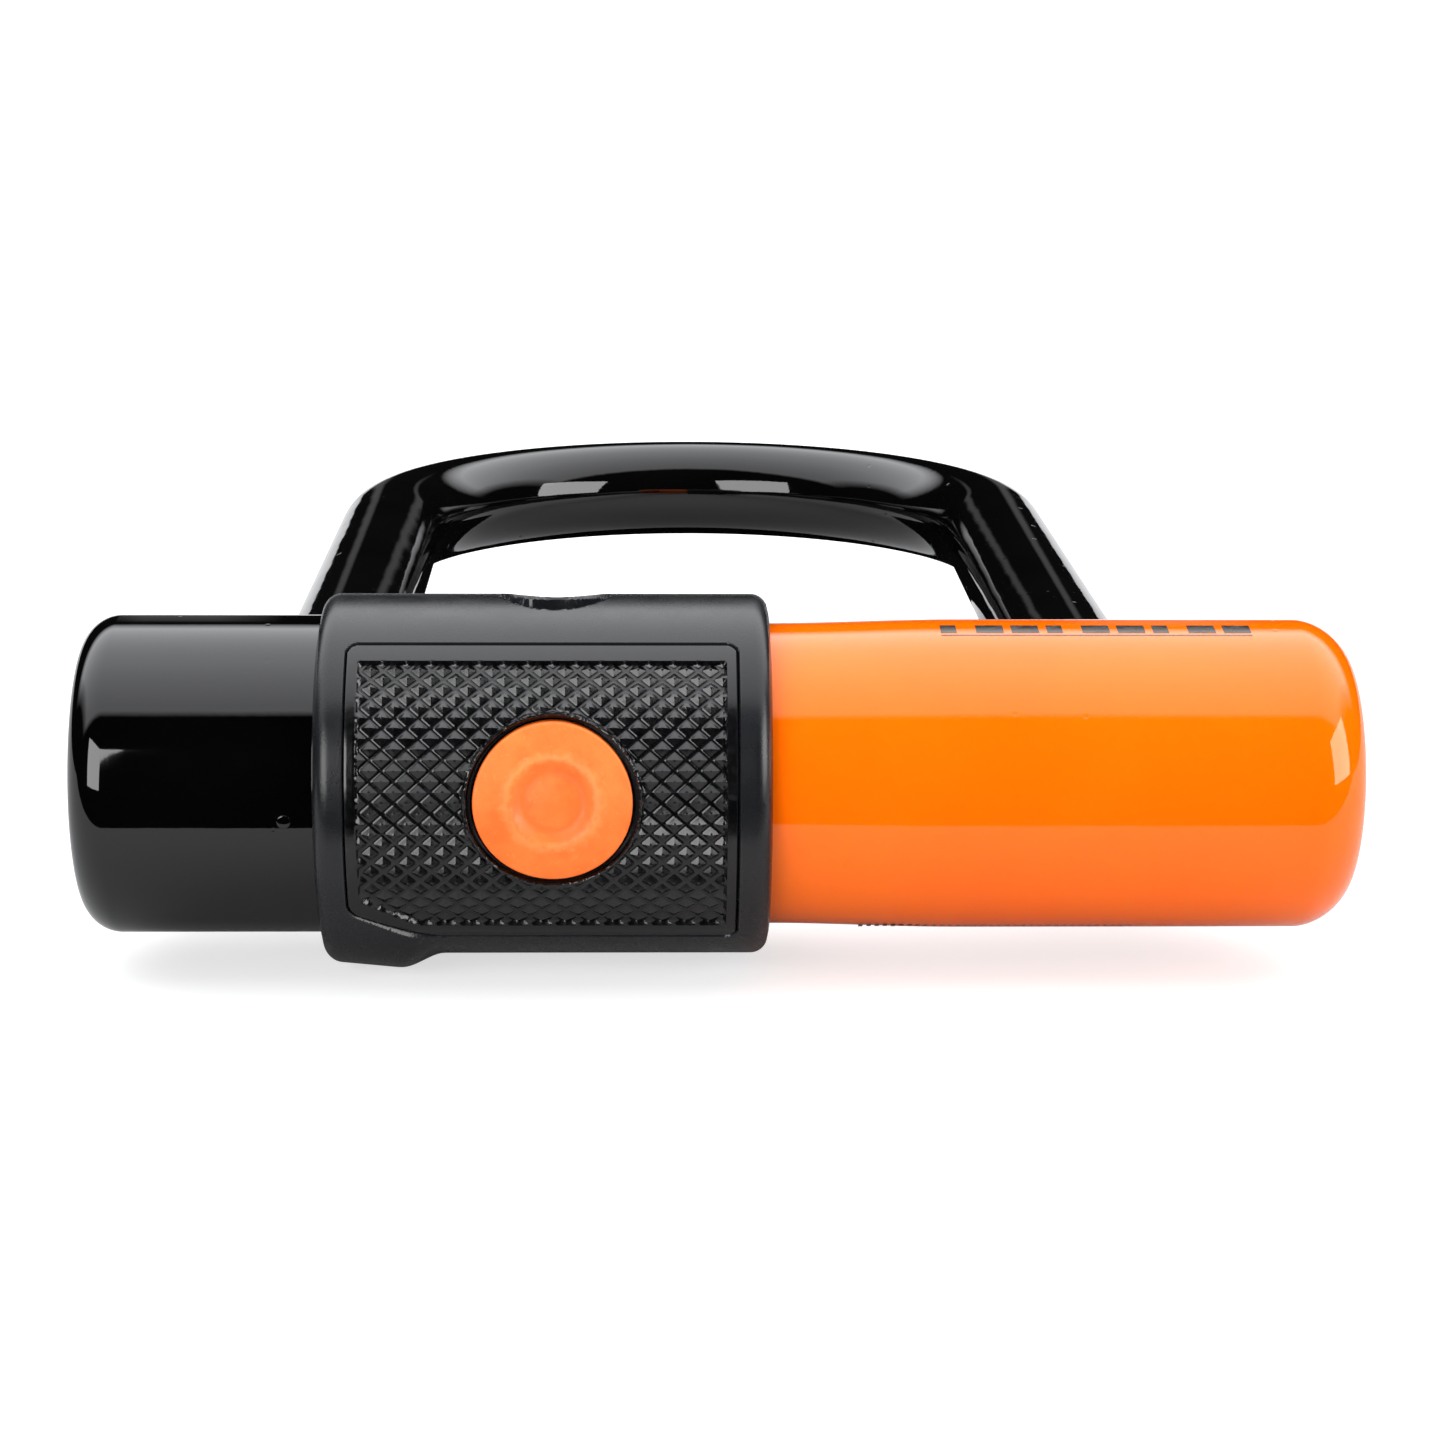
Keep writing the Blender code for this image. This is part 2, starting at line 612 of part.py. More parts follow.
def lip_height(x, angle):
    """How far the thumb lip stands out, at a place along the collar and an angle from -Z in degrees."""
    rise = (x - COLLAR_LEFT) / (LIP_PEAK_X - COLLAR_LEFT)
    crest = LIP_LEFT_HEIGHT + (LIP_HEIGHT - LIP_LEFT_HEIGHT) * min(1.0, max(0.0, rise))
    fall = smooth_step((LIP_END_X - x) / (LIP_END_X - LIP_FALL_X))
    flank = smooth_step((LIP_HALF_DEG - abs(angle)) / LIP_FLANK_DEG)
    return crest * fall * flank


def collar_outline():
    """The collar's section: (x, radius, whether the lip stands on it), all round."""
    corner_steps = 4
    outer = []
    for step in range(corner_steps + 1):
        angle = 0.5 * math.pi * step / corner_steps
        outer.append((COLLAR_LEFT + COLLAR_FILLET * (1 - math.cos(angle)), math.sin(angle)))
    for x in COLLAR_STATIONS:
        outer.append((x, 1.0))
    for step in range(corner_steps + 1):
        angle = 0.5 * math.pi * (1 - step / corner_steps)
        outer.append((COLLAR_RIGHT - COLLAR_FILLET * (1 - math.cos(angle)), math.sin(angle)))
    base = COLLAR_RADIUS - COLLAR_FILLET
    points = [(x, base + COLLAR_FILLET * share, True) for x, share in outer]
    return [*points, (COLLAR_RIGHT, COLLAR_BORE, False), (COLLAR_LEFT, COLLAR_BORE, False)]


def wrapped_plate(name, x_range, deg_range, radii, material, parent, corner=None, cells=26):
    """A plate bent round the collar's axis, at angles from -Y towards +Z, with one lower corner cut off."""
    low, high = (math.radians(angle) for angle in deg_range)
    bm = bmesh.new()
    bmesh.ops.create_grid(bm, x_segments=2, y_segments=cells, size=0.5)
    width = x_range[1] - x_range[0]
    bmesh.ops.scale(bm, verts=bm.verts, vec=(width, high - low, 1.0))
    bmesh.ops.translate(bm, verts=bm.verts, vec=((x_range[0] + x_range[1]) / 2, (low + high) / 2, 0.0))
    if corner:
        corner_x, corner_deg = corner
        corner_angle = -math.radians(corner_deg)
        normal = (low - corner_angle, x_range[0] - corner_x, 0.0)
        whole = [*bm.verts, *bm.edges, *bm.faces]
        bmesh.ops.bisect_plane(
            bm, geom=whole, plane_co=(corner_x, low, 0.0), plane_no=normal, clear_outer=True, dist=1e-9
        )
    top = bmesh.ops.extrude_face_region(bm, geom=list(bm.faces))["geom"]
    for vert in (item for item in top if isinstance(item, bmesh.types.BMVert)):
        vert.co.z = 1.0
    for vert in bm.verts:
        radius = radii[0] + (radii[1] - radii[0]) * vert.co.z
        angle = vert.co.y
        vert.co = (vert.co.x, -radius * math.cos(angle), radius * math.sin(angle))
    return mesh_object(name, bm, material, parent)


def cover_collar(material, parent):
    bm = bmesh.new()
    rings = []
    for x, radius, carries_lip in collar_outline():
        ring = []
        for step in range(FINE):
            angle = math.tau * step / FINE
            from_lip = math.degrees(math.remainder(angle + 0.5 * math.pi, math.tau))
            reach = radius + (lip_height(x, from_lip) if carries_lip else 0.0)
            ring.append(bm.verts.new((x, -reach * math.cos(angle), reach * math.sin(angle))))
        rings.append(ring)
    for ring, following in zip(rings, [*rings[1:], rings[0]]):
        bridge(bm, ring, following)
    collar = mesh_object("cover_collar", bm, material, parent)
    recess = wrapped_plate(
        "cutter_pad_recess",
        (PAD_LEFT - GAP, PAD_RIGHT + GAP),
        (-PAD_HALF_DEG - PAD_SEAM_DEG, PAD_HALF_DEG + PAD_SEAM_DEG),
        (PAD_BOTTOM_RADIUS - GAP, COLLAR_RADIUS + 3 * PAST),
        None,
        parent,
        (PAD_CORNER_X, PAD_CORNER_DEG + PAD_SEAM_DEG),
    )
    combine(collar, recess)
    centre = (CORE_X, 0.0, 0.0)
    drill(collar, "plug", COLLAR_BORE - 4 * PAST, COLLAR_RADIUS, PLUG_RADIUS + GAP, "-Y", centre)
    window = [
        (COLLAR_BORE - 4 * PAST, 0.0),
        (COLLAR_BORE - 4 * PAST, WINDOW_RADIUS),
        (WINDOW_MOUTH_BOTTOM, WINDOW_RADIUS),
        (WINDOW_MOUTH_TOP, WINDOW_MOUTH_RADIUS),
        (COLLAR_RADIUS + 3 * PAST, WINDOW_MOUTH_RADIUS),
        (COLLAR_RADIUS + 3 * PAST, 0.0),
    ]
    combine(collar, turned("cutter_key_window", window, None, parent, "Z", centre, COARSE))
    notch = wrapped_plate(
        "cutter_leg_notch",
        (COLLAR_LEFT - PAST, LEG_NOTCH_RIGHT),
        LEG_NOTCH_DEG,
        (COLLAR_BORE - PAST, COLLAR_RADIUS + PAST),
        None,
        parent,
    )
    combine(collar, notch)


def grip_pad(material, parent):
    pad = wrapped_plate(
        "grip_pad",
        (PAD_LEFT, PAD_RIGHT),
        (-PAD_HALF_DEG, PAD_HALF_DEG),
        (PAD_BOTTOM_RADIUS, PAD_TOP_RADIUS),
        material,
        parent,
        (PAD_CORNER_X, PAD_CORNER_DEG),
    )
    drill(pad, "plug", 0.0, COLLAR_RADIUS + 2 * PAST, PAD_HOLE_RADIUS, "-Y", (CORE_X, 0.0, 0.0), MEDIUM)


def dust_plug(material, parent):
    """A soft disc through the collar's wall, flush with its curve and dished at its centre."""
    centre = (CORE_X, 0.0, 0.0)
    outline = rod_outline(COLLAR_BORE - 3 * PAST, COLLAR_RADIUS + PAST, PLUG_RADIUS)
    plug = turned("dust_plug", outline, material, parent, "-Y", centre, MEDIUM)
    reach = PLUG_RADIUS + 2 * PAST
    shell = tube_outline(CORE_X - reach, CORE_X + reach, PLUG_BOTTOM_RADIUS, PLUG_TOP_RADIUS)
    combine(plug, turned("cutter_plug_shell", shell, None, parent, steps=2 * FINE), "INTERSECT")
    dimple = [
        (DIMPLE_FLOOR, 0.0),
        (DIMPLE_FLOOR, DIMPLE_FLOOR_RADIUS),
        (PLUG_TOP_RADIUS + PAST / 5, DIMPLE_RADIUS),
        (PLUG_TOP_RADIUS + PAST / 5, 0.0),
    ]
    combine(plug, turned("cutter_plug_dimple", dimple, None, parent, "-Y", centre, COARSE))


def build():
    clear_scene()
    vinyl = surface("black_vinyl", (0.012, 0.012, 0.013), 0.12)
    orange = surface("orange_vinyl", (0.95, 0.16, 0.01), 0.12)
    plastic = surface("black_plastic", (0.035, 0.036, 0.038), 0.38)
    pad_rubber = surface("pad_rubber", (0.018, 0.019, 0.021), 0.25)
    plug_rubber = surface("orange_rubber", (1.0, 0.28, 0.05), 0.5)
    seal_rubber = surface("seal_rubber", (0.02, 0.02, 0.02), 0.7)
    hard_steel = surface("hardened_steel", (0.30, 0.30, 0.31), 0.35, 1.0)
    bright_steel = surface("bright_steel", (0.55, 0.55, 0.56), 0.25, 1.0)
    brass = surface("brass", (0.72, 0.52, 0.22), 0.3, 1.0)

    lock = frame_empty("lock_frame", location=(0.0, AXIS_Y, AXIS_Z))
    crossbar_tube(hard_steel, lock)
    end_plugs(hard_steel, lock)
    black_sleeve(vinyl, lock)
    orange_sleeve(orange, lock)
    centre_sleeve(plastic, lock)
    leg_grommets(seal_rubber, lock)
    cylinder_housing(bright_steel, lock)
    cylinder_pins(bright_steel, lock)
    bolt_guides(hard_steel, lock)

    shackle = frame_empty("shackle_slide", lock, (SHACKLE_X, 0.0, 0.0))
    shackle_rod(hard_steel, shackle)
    shackle_coating(vinyl, shackle)

    key = frame_empty("key_hinge", lock, (CORE_X, 0.0, 0.0))
    core_barrel(bright_steel, key)
    key_face(bright_steel, key)
    locking_discs(brass, key)
    sidebar(bright_steel, key)
    bolt_cam(hard_steel, key)

    left_slide = frame_empty("left_bolt_slide", lock)
    deadbolt("left_deadbolt", LEFT_BOLT_NOSE, LEFT_BOLT_HEEL, 1, hard_steel, left_slide)
    right_slide = frame_empty("right_bolt_slide", lock)
    deadbolt("right_deadbolt", RIGHT_BOLT_NOSE, RIGHT_BOLT_HEEL, -1, hard_steel, right_slide)

    collar = frame_empty("collar_hinge", lock)
    collar.rotation_euler.x = -math.radians(COLLAR_REST_DEG)
    cover_collar(plastic, collar)
    grip_pad(pad_rubber, collar)
    dust_plug(plug_rubber, collar)
    collar_seals(seal_rubber, collar)


build()
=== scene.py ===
"""The looks of a compact bicycle U-lock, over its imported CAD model.

The pieces that show are built again at a finer grain where their CAD nodes are, and stand for those nodes.
Lengths are in metres. Most pieces are made in the crossbar's frame, with X along its axis, +Y towards the
shackle's bend and +Z towards the key. The collar's pieces are made in the collar's own frame, which is the
crossbar's turned about X.
"""

import json
import math

import bmesh
import bpy
from mathutils import Matrix, Quaternion, Vector


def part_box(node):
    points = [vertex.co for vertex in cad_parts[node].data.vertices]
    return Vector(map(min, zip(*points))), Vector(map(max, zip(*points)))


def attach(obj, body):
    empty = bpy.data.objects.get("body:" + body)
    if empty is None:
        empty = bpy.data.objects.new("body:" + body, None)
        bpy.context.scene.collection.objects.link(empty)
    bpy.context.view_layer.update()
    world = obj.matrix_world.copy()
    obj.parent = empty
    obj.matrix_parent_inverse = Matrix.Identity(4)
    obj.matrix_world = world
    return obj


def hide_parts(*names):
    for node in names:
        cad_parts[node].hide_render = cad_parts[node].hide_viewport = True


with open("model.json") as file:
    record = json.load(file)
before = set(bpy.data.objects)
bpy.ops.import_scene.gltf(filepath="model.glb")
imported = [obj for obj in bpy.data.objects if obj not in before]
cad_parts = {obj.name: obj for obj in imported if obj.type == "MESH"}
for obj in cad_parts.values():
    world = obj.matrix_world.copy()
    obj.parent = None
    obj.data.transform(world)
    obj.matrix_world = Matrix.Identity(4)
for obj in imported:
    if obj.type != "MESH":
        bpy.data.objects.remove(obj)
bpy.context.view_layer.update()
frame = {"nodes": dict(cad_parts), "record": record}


# ---- places, read from the frame


def middle(node):
    low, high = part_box(node)
    return (low + high) / 2


def half_size(node):
    low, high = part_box(node)
    return (high - low) / 2


AXIS_Y = middle("crossbar_tube").y
AXIS_Z = middle("crossbar_tube").z
SHACKLE_X = middle("shackle_coating").x
CORE_X = middle("key_face_disc").x

COATING_RADIUS = half_size("shackle_coating").z
ROD_RADIUS = half_size("shackle_rod").z
LEG_OFFSET = half_size("shackle_coating").x - COATING_RADIUS
BEND_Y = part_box("shackle_coating")[1].y - COATING_RADIUS - LEG_OFFSET - AXIS_Y
COATING_END_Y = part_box("shackle_coating")[0].y - AXIS_Y
FOOT_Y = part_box("shackle_rod")[0].y - AXIS_Y

BLACK_LEFT, BLACK_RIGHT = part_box("black_sleeve")[0].x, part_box("black_sleeve")[1].x
ORANGE_LEFT, ORANGE_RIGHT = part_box("orange_sleeve")[0].x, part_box("orange_sleeve")[1].x
BLACK_RADIUS = half_size("black_sleeve").z
ORANGE_RADIUS = half_size("orange_sleeve").z
TUBE_RADIUS = half_size("crossbar_tube").z
TUBE_LEFT, TUBE_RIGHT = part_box("crossbar_tube")[0].x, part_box("crossbar_tube")[1].x
CENTRE_RADIUS = half_size("centre_sleeve").z
CENTRE_LEFT, CENTRE_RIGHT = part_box("centre_sleeve")[0].x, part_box("centre_sleeve")[1].x
COLLAR_LEFT, COLLAR_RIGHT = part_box("cover_collar")[0].x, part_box("cover_collar")[1].x
PAD_LEFT, PAD_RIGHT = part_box("grip_pad")[0].x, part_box("grip_pad")[1].x
PLUG_RADIUS = half_size("dust_plug").x
FACE_RADIUS = half_size("key_face_disc").x
FACE_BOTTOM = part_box("key_face_disc")[0].z - AXIS_Z
FACE_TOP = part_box("key_face_disc")[1].z - AXIS_Z
GROMMET_RADIUS = half_size("left_leg_grommet").x

# The design's own sizes: the crossbar, the shackle and the key face
GAP = 0.0003
COATING_BORE = 0.0068
NOTCH_DEPTH = 0.0055
NOTCH_HALF_HEIGHT = 0.0050
FLAT_RADIUS = 0.0050
BLACK_CROWN = 0.0009
BLACK_CORNER = 0.0040
ORANGE_CROWN = 0.0030
ORANGE_CORNER = 0.0050
ORANGE_NECK_RADIUS = 0.0179
ORANGE_NECK_END = 0.0280
KEYWAY_WIDTH = 0.0028
KEYWAY_LENGTH = 0.0064
HOUSING_NECK_RADIUS = 0.0077
BLISTER_RADIUS = 0.0008
BLISTER_HEIGHT = 0.00013
BLISTER_X = -0.0504
BLISTER_DEG = -3.0

# The collar, its key window, the notch that clears the left leg, and the thumb lip
COLLAR_RADIUS = 0.0214
COLLAR_BORE = 0.0192
COLLAR_FILLET = 0.0020
COLLAR_REST_DEG = 4.8
WINDOW_RADIUS = 0.0061
WINDOW_MOUTH_RADIUS = 0.0065
WINDOW_MOUTH_DEPTH = 0.0007
LEG_NOTCH_DEPTH = 0.0057
LEG_NOTCH_DEG = (99.0, 205.0)
LEG_NOTCH_BLEND_DEG = 6.0
LIP_LEFT_HEIGHT = 0.0009
LIP_HEIGHT = 0.0017
LIP_PEAK_X = -0.0384
LIP_FALL_X = -0.0380
LIP_END_X = -0.0329
LIP_HALF_DEG = 50.0
LIP_FLANK_DEG = 34.0

# The pad and its field of pyramids, and the disc in the middle
PAD_HALF_DEG = 53.3
PAD_CORNER_X = -0.0349
PAD_CORNER_DEG = 40.0
PAD_CORNER_ROUND = 0.0014
PAD_TOP_RADIUS = 0.0213
PAD_SKIRT_RADIUS = 0.0206
PAD_HOLE_RADIUS = 0.00987
PAD_RIM_WIDTH = 0.00042
PAD_SEAM = 0.0001
RECESS_FLOOR_RADIUS = 0.0204
RECESS_WALL = 0.0003
PLUG_TOP_RADIUS = 0.02145
DIMPLE_DEPTH = 0.00095
FIELD_INSET_X = 0.00135
FIELD_HALF_DEG = 46.2
FIELD_CORNER_DEG = 34.0
PYRAMID_PITCH = 0.00277
PYRAMID_ARC = 0.00251
PYRAMID_HEIGHT = 0.00052
PYRAMID_SHARE = 0.82

BAR = Matrix.Translation((0.0, AXIS_Y, AXIS_Z))
COLLAR = BAR @ Matrix.Rotation(-math.radians(COLLAR_REST_DEG), 4, "X")
SHACKLE = Matrix.Translation((SHACKLE_X, AXIS_Y, AXIS_Z))
KEY = Matrix.Translation((CORE_X, AXIS_Y, AXIS_Z))

# How finely things are made, and how much the camera sees the floor brightened
SHARP_ANGLE = math.radians(35)
FINE = 176
MEDIUM = 96
SLEEVE_STEP = 0.003
HOLE_START = 0.006
FLOOR_LIFT = 0.64

TURN_TO = {
    "X": Matrix.Identity(3),
    "Y": Matrix.Rotation(math.radians(90), 3, "Z"),
    "-Y": Matrix.Rotation(math.radians(-90), 3, "Z"),
    "Z": Matrix.Rotation(math.radians(-90), 3, "Y"),
}


def smooth_step(value):
    value = min(1.0, max(0.0, value))
    return value * value * (3 - 2 * value)


# ---- materials


def start_material(name):
    """An empty node material, its node tree and its Principled shader."""
    material = bpy.data.materials.new(name)
    material.use_nodes = True
    tree = material.node_tree
    shader = tree.nodes["Principled BSDF"]
    return material, tree, shader


def add_node(tree, kind, inputs=None, **settings):
    """A node with its settings, whose inputs are given values or linked to the sockets given."""
    node = tree.nodes.new(kind)
    for name, value in settings.items():
        setattr(node, name, value)
    for name, value in (inputs or {}).items():
        if isinstance(value, bpy.types.NodeSocket):
            tree.links.new(value, node.inputs[name])
        else:
            node.inputs[name].default_value = value
    return node


def object_place(tree, stretch=(1.0, 1.0, 1.0)):
    """The surface point in metres, scaled along each axis."""
    coordinates = add_node(tree, "ShaderNodeTexCoord")
    mapping = add_node(tree, "ShaderNodeMapping", {"Vector": coordinates.outputs["Object"], "Scale": stretch})
    return mapping.outputs["Vector"]


def noise(tree, place, scale, detail=3.0, roughness=0.5):
    """Soft noise in 0 to 1, with features about 1/scale metres across."""
    inputs = {"Vector": place, "Scale": scale, "Detail": detail, "Roughness": roughness}
    return add_node(tree, "ShaderNodeTexNoise", inputs).outputs["Fac"]


def remap(tree, value, source, target):
    """Maps a value from one range to another, held at the ends."""
    inputs = {"Value": value, "From Min": source[0], "From Max": source[1]}
    inputs.update({"To Min": target[0], "To Max": target[1]})
    return add_node(tree, "ShaderNodeMapRange", inputs).outputs["Result"]


def combine_values(tree, operation, first, second):
    return add_node(tree, "ShaderNodeMath", {0: first, 1: second}, operation=operation).outputs["Value"]


def blend_colours(tree, factor, first, second):
    """A mix of two colours, each a colour value or a socket."""
    node = tree.nodes.new("ShaderNodeMix")
    node.data_type = "RGBA"
    tree.links.new(factor, node.inputs["Factor"])
    for name, value in (("A", first), ("B", second)):
        socket = next(s for s in node.inputs if s.name == name and s.type == "RGBA")
        if isinstance(value, bpy.types.NodeSocket):
            tree.links.new(value, socket)
        else:
            socket.default_value = (*value, 1.0)
    return next(s for s in node.outputs if s.type == "RGBA")


def bump(tree, height, distance, normal=None):
    """A bump of the given height in metres, on top of another normal."""
    inputs = {"Height": height, "Distance": distance}
    if normal is not None:
        inputs["Normal"] = normal
    return add_node(tree, "ShaderNodeBump", inputs).outputs["Normal"]


def worn_edges(tree, width):
    """About 1 on convex edges and 0 on flat faces."""
    geometry = add_node(tree, "ShaderNodeNewGeometry")
    return remap(tree, geometry.outputs["Pointiness"], (0.5 + width, 0.5 + 3 * width), (0.0, 1.0))


def link(value, shader, name):
    shader.id_data.links.new(value, shader.inputs[name])


def vinyl(name, dark, light, smear=0.04, peel=0.6, glow=0.0, sheen_tint=(1.0, 1.0, 1.0)):
    """Thick dipped vinyl: deep gloss, faint ripples and orange peel, finger smears and a few specks."""
    material, tree, shader = start_material(name)
    place = object_place(tree)
    tint = remap(tree, noise(tree, place, 35.0), (0.35, 0.65), (0.0, 1.0))
    link(blend_colours(tree, tint, dark, light), shader, "Base Color")
    smears = remap(tree, noise(tree, object_place(tree, (1.0, 2.2, 2.2)), 90.0, 5.0), (0.5, 0.8), (0.0, 1.0))
    link(remap(tree, smears, (0.0, 1.0), (0.035, 0.035 + smear)), shader, "Roughness")
    ripples = bump(tree, noise(tree, place, 70.0, 1.0), 0.00006 * peel)
    orange_peel = bump(tree, noise(tree, place, 900.0, 2.0), 0.0000035 * peel, ripples)
    cells = add_node(tree, "ShaderNodeTexVoronoi", {"Vector": place, "Scale": 210.0})
    specks = remap(tree, cells.outputs["Distance"], (0.05, 0.09), (0.0, 1.0))
    link(bump(tree, specks, 0.00002 * peel, orange_peel), shader, "Normal")
    shader.inputs["IOR"].default_value = 1.5
    shader.inputs["Specular Tint"].default_value = (*sheen_tint, 1.0)
    if glow:
        shader.inputs["Subsurface Weight"].default_value = glow
        shader.inputs["Subsurface Radius"].default_value = (1.0, 0.35, 0.12)
        shader.inputs["Subsurface Scale"].default_value = 0.0015
    return material


def moulded_plastic(name, dark, light, roughness):
    """Satin moulded plastic: a fine spark-eroded grain, soft flow marks and edges rubbed shinier."""
    material, tree, shader = start_material(name)
    place = object_place(tree)
    flow = remap(tree, noise(tree, object_place(tree, (0.6, 1.6, 1.6)), 60.0), (0.35, 0.65), (0.0, 1.0))
    rubbed = worn_edges(tree, 0.012)
    plain = blend_colours(tree, flow, dark, light)
    shiny = [channel * 1.35 for channel in light]
    link(blend_colours(tree, rubbed, plain, shiny), shader, "Base Color")
    uneven = remap(tree, noise(tree, place, 300.0, 4.0), (0.3, 0.7), (roughness - 0.03, roughness + 0.04))
    polish = combine_values(tree, "MULTIPLY", rubbed, 0.08)
    link(combine_values(tree, "SUBTRACT", uneven, polish), shader, "Roughness")
    coarse = bump(tree, noise(tree, place, 4200.0, 2.0), 0.000012)
    link(bump(tree, noise(tree, place, 11000.0, 1.0), 0.000005, coarse), shader, "Normal")
    shader.inputs["IOR"].default_value = 1.43
    return material


def pad_rubber():
    """Firm glossy rubber, deep black, with paler rubbed tips and fine pits."""
    material, tree, shader = start_material("pad_rubber")
    place = object_place(tree)
    mottle = remap(tree, noise(tree, place, 500.0, 4.0), (0.35, 0.7), (0.0, 1.0))
    base = blend_colours(tree, mottle, (0.0008, 0.0009, 0.0012), (0.0022, 0.0024, 0.0028))
    tips = worn_edges(tree, 0.03)
    link(blend_colours(tree, tips, base, (0.008, 0.0084, 0.0092)), shader, "Base Color")
    link(remap(tree, noise(tree, place, 1100.0, 3.0), (0.3, 0.75), (0.15, 0.25)), shader, "Roughness")
    pits = bump(tree, noise(tree, place, 3000.0, 3.0), 0.000004)
    link(bump(tree, noise(tree, place, 600.0, 2.0), 0.000012, pits), shader, "Normal")
    shader.inputs["IOR"].default_value = 1.5
    return material


def ring_mask(tree, out, rise, fall, strength):
    """A ring that fades in and out with the distance from its centre."""
    inner = remap(tree, out, rise, (0.0, 1.0))
    return combine_values(tree, "MULTIPLY", inner, remap(tree, out, fall, (strength, 0.0)))


def plug_rubber():
    """Soft translucent orange rubber with a dry bloom, cloudy patches and a gritty, tooled dish, with painted
    shade in a ring round the foot of the dish and a painted highlight in a ring round its shoulder.
    """
    material, tree, shader = start_material("orange_rubber")
    place = object_place(tree)
    clouds = remap(tree, noise(tree, place, 260.0, 5.0, 0.6), (0.35, 0.68), (0.0, 1.0))
    base = blend_colours(tree, clouds, (0.93, 0.140, 0.008), (0.98, 0.195, 0.026))
    bloom = remap(tree, noise(tree, place, 1500.0, 4.0, 0.65), (0.58, 0.8), (0.0, 0.35))
    dusty = blend_colours(tree, bloom, base, (1.0, 0.36, 0.10))
    centre = COLLAR @ Vector((CORE_X, -PLUG_TOP_RADIUS, 0.0))
    measure = add_node(tree, "ShaderNodeVectorMath", {0: place, 1: centre}, operation="DISTANCE")
    wobble = remap(tree, noise(tree, place, 900.0, 3.0), (0.3, 0.7), (-0.0004, 0.0004))
    out = combine_values(tree, "ADD", measure.outputs["Value"], wobble)
    # Painted shade: a darker orange ring round the foot of the dish's wall. Painted highlight: a paler ring
    # round the dish's shoulder. Both are the same all round.
    groove_painted_shade = ring_mask(tree, out, (0.0028, 0.0034), (0.0038, 0.0046), 0.7)
    shoulder_painted_highlight = ring_mask(tree, out, (0.0046, 0.0052), (0.0054, 0.0062), 0.28)
    with_painted_groove_shade = blend_colours(tree, groove_painted_shade, dusty, (0.86, 0.14, 0.012))
    link(blend_colours(tree, shoulder_painted_highlight, with_painted_groove_shade, (1.0, 0.38, 0.12)), shader, "Base Color")
    link(remap(tree, noise(tree, place, 700.0, 4.0), (0.3, 0.7), (0.42, 0.6)), shader, "Roughness")
    dents = bump(tree, noise(tree, place, 420.0, 3.0), 0.00009)
    link(bump(tree, noise(tree, place, 2600.0, 2.0), 0.000012, dents), shader, "Normal")
    shader.inputs["IOR"].default_value = 1.45
    shader.inputs["Subsurface Weight"].default_value = 0.12
    shader.inputs["Subsurface Radius"].default_value = (1.0, 0.4, 0.15)
    shader.inputs["Subsurface Scale"].default_value = 0.0005
    return material


def plain_rubber():
    """Matte seal rubber with a powdery bloom."""
    material, tree, shader = start_material("seal_rubber")
    place = object_place(tree)
    bloom = remap(tree, noise(tree, place, 700.0, 4.0), (0.4, 0.75), (0.0, 1.0))
    link(blend_colours(tree, bloom, (0.016, 0.016, 0.017), (0.035, 0.035, 0.036)), shader, "Base Color")
    link(remap(tree, noise(tree, place, 1500.0), (0.3, 0.7), (0.55, 0.8)), shader, "Roughness")
    link(bump(tree, noise(tree, place, 3500.0), 0.00002), shader, "Normal")
    return material


def ground_metal(name, dark, light, roughness, lay=(1.0, 1.0, 1.0), oil=0.0):
    """Machined metal: fine tool lines across the lay, stains, and brighter rubbed edges."""
    material, tree, shader = start_material(name)
    place = object_place(tree)
    stains = remap(tree, noise(tree, place, 110.0, 6.0, 0.6), (0.35, 0.7), (0.0, 1.0))
    plain = blend_colours(tree, stains, dark, light)
    polished = [min(1.0, channel * 1.5) for channel in light]
    link(blend_colours(tree, worn_edges(tree, 0.015), plain, polished), shader, "Base Color")
    lines = noise(tree, object_place(tree, lay), 2400.0, 3.0, 0.6)
    rough_lines = remap(tree, lines, (0.3, 0.7), (roughness - 0.06, roughness + 0.08))
    film = combine_values(tree, "MULTIPLY", stains, oil)
    link(combine_values(tree, "SUBTRACT", rough_lines, film), shader, "Roughness")
    link(bump(tree, lines, 0.000012), shader, "Normal")
    shader.inputs["Metallic"].default_value = 1.0
    return material


def ink():
    """Dark print on the vinyl, worn through in small specks."""
    material, tree, shader = start_material("print_ink")
    place = object_place(tree)
    fade = remap(tree, noise(tree, place, 2200.0, 4.0), (0.55, 0.75), (0.0, 0.5))
    link(blend_colours(tree, fade, (0.028, 0.022, 0.018), (0.16, 0.055, 0.012)), shader, "Base Color")
    link(remap(tree, noise(tree, place, 900.0), (0.3, 0.7), (0.12, 0.3)), shader, "Roughness")
    return material


def paper_floor():
    """A plain pale sweep with the faintest mottling, lifted a little where the camera sees it."""
    material, tree, shader = start_material("studio_paper")
    place = object_place(tree)
    mottle = remap(tree, noise(tree, place, 9.0, 4.0), (0.3, 0.7), (0.0, 1.0))
    link(blend_colours(tree, mottle, (0.49, 0.49, 0.49), (0.52, 0.52, 0.52)), shader, "Base Color")
    link(remap(tree, noise(tree, place, 60.0), (0.3, 0.7), (0.75, 0.85)), shader, "Roughness")
    shader.inputs["Specular IOR Level"].default_value = 0.1
    seen = add_node(tree, "ShaderNodeLightPath").outputs["Is Camera Ray"]
    shader.inputs["Emission Color"].default_value = (1.0, 1.0, 1.0, 1.0)
    link(combine_values(tree, "MULTIPLY", seen, FLOOR_LIFT), shader, "Emission Strength")
    return material


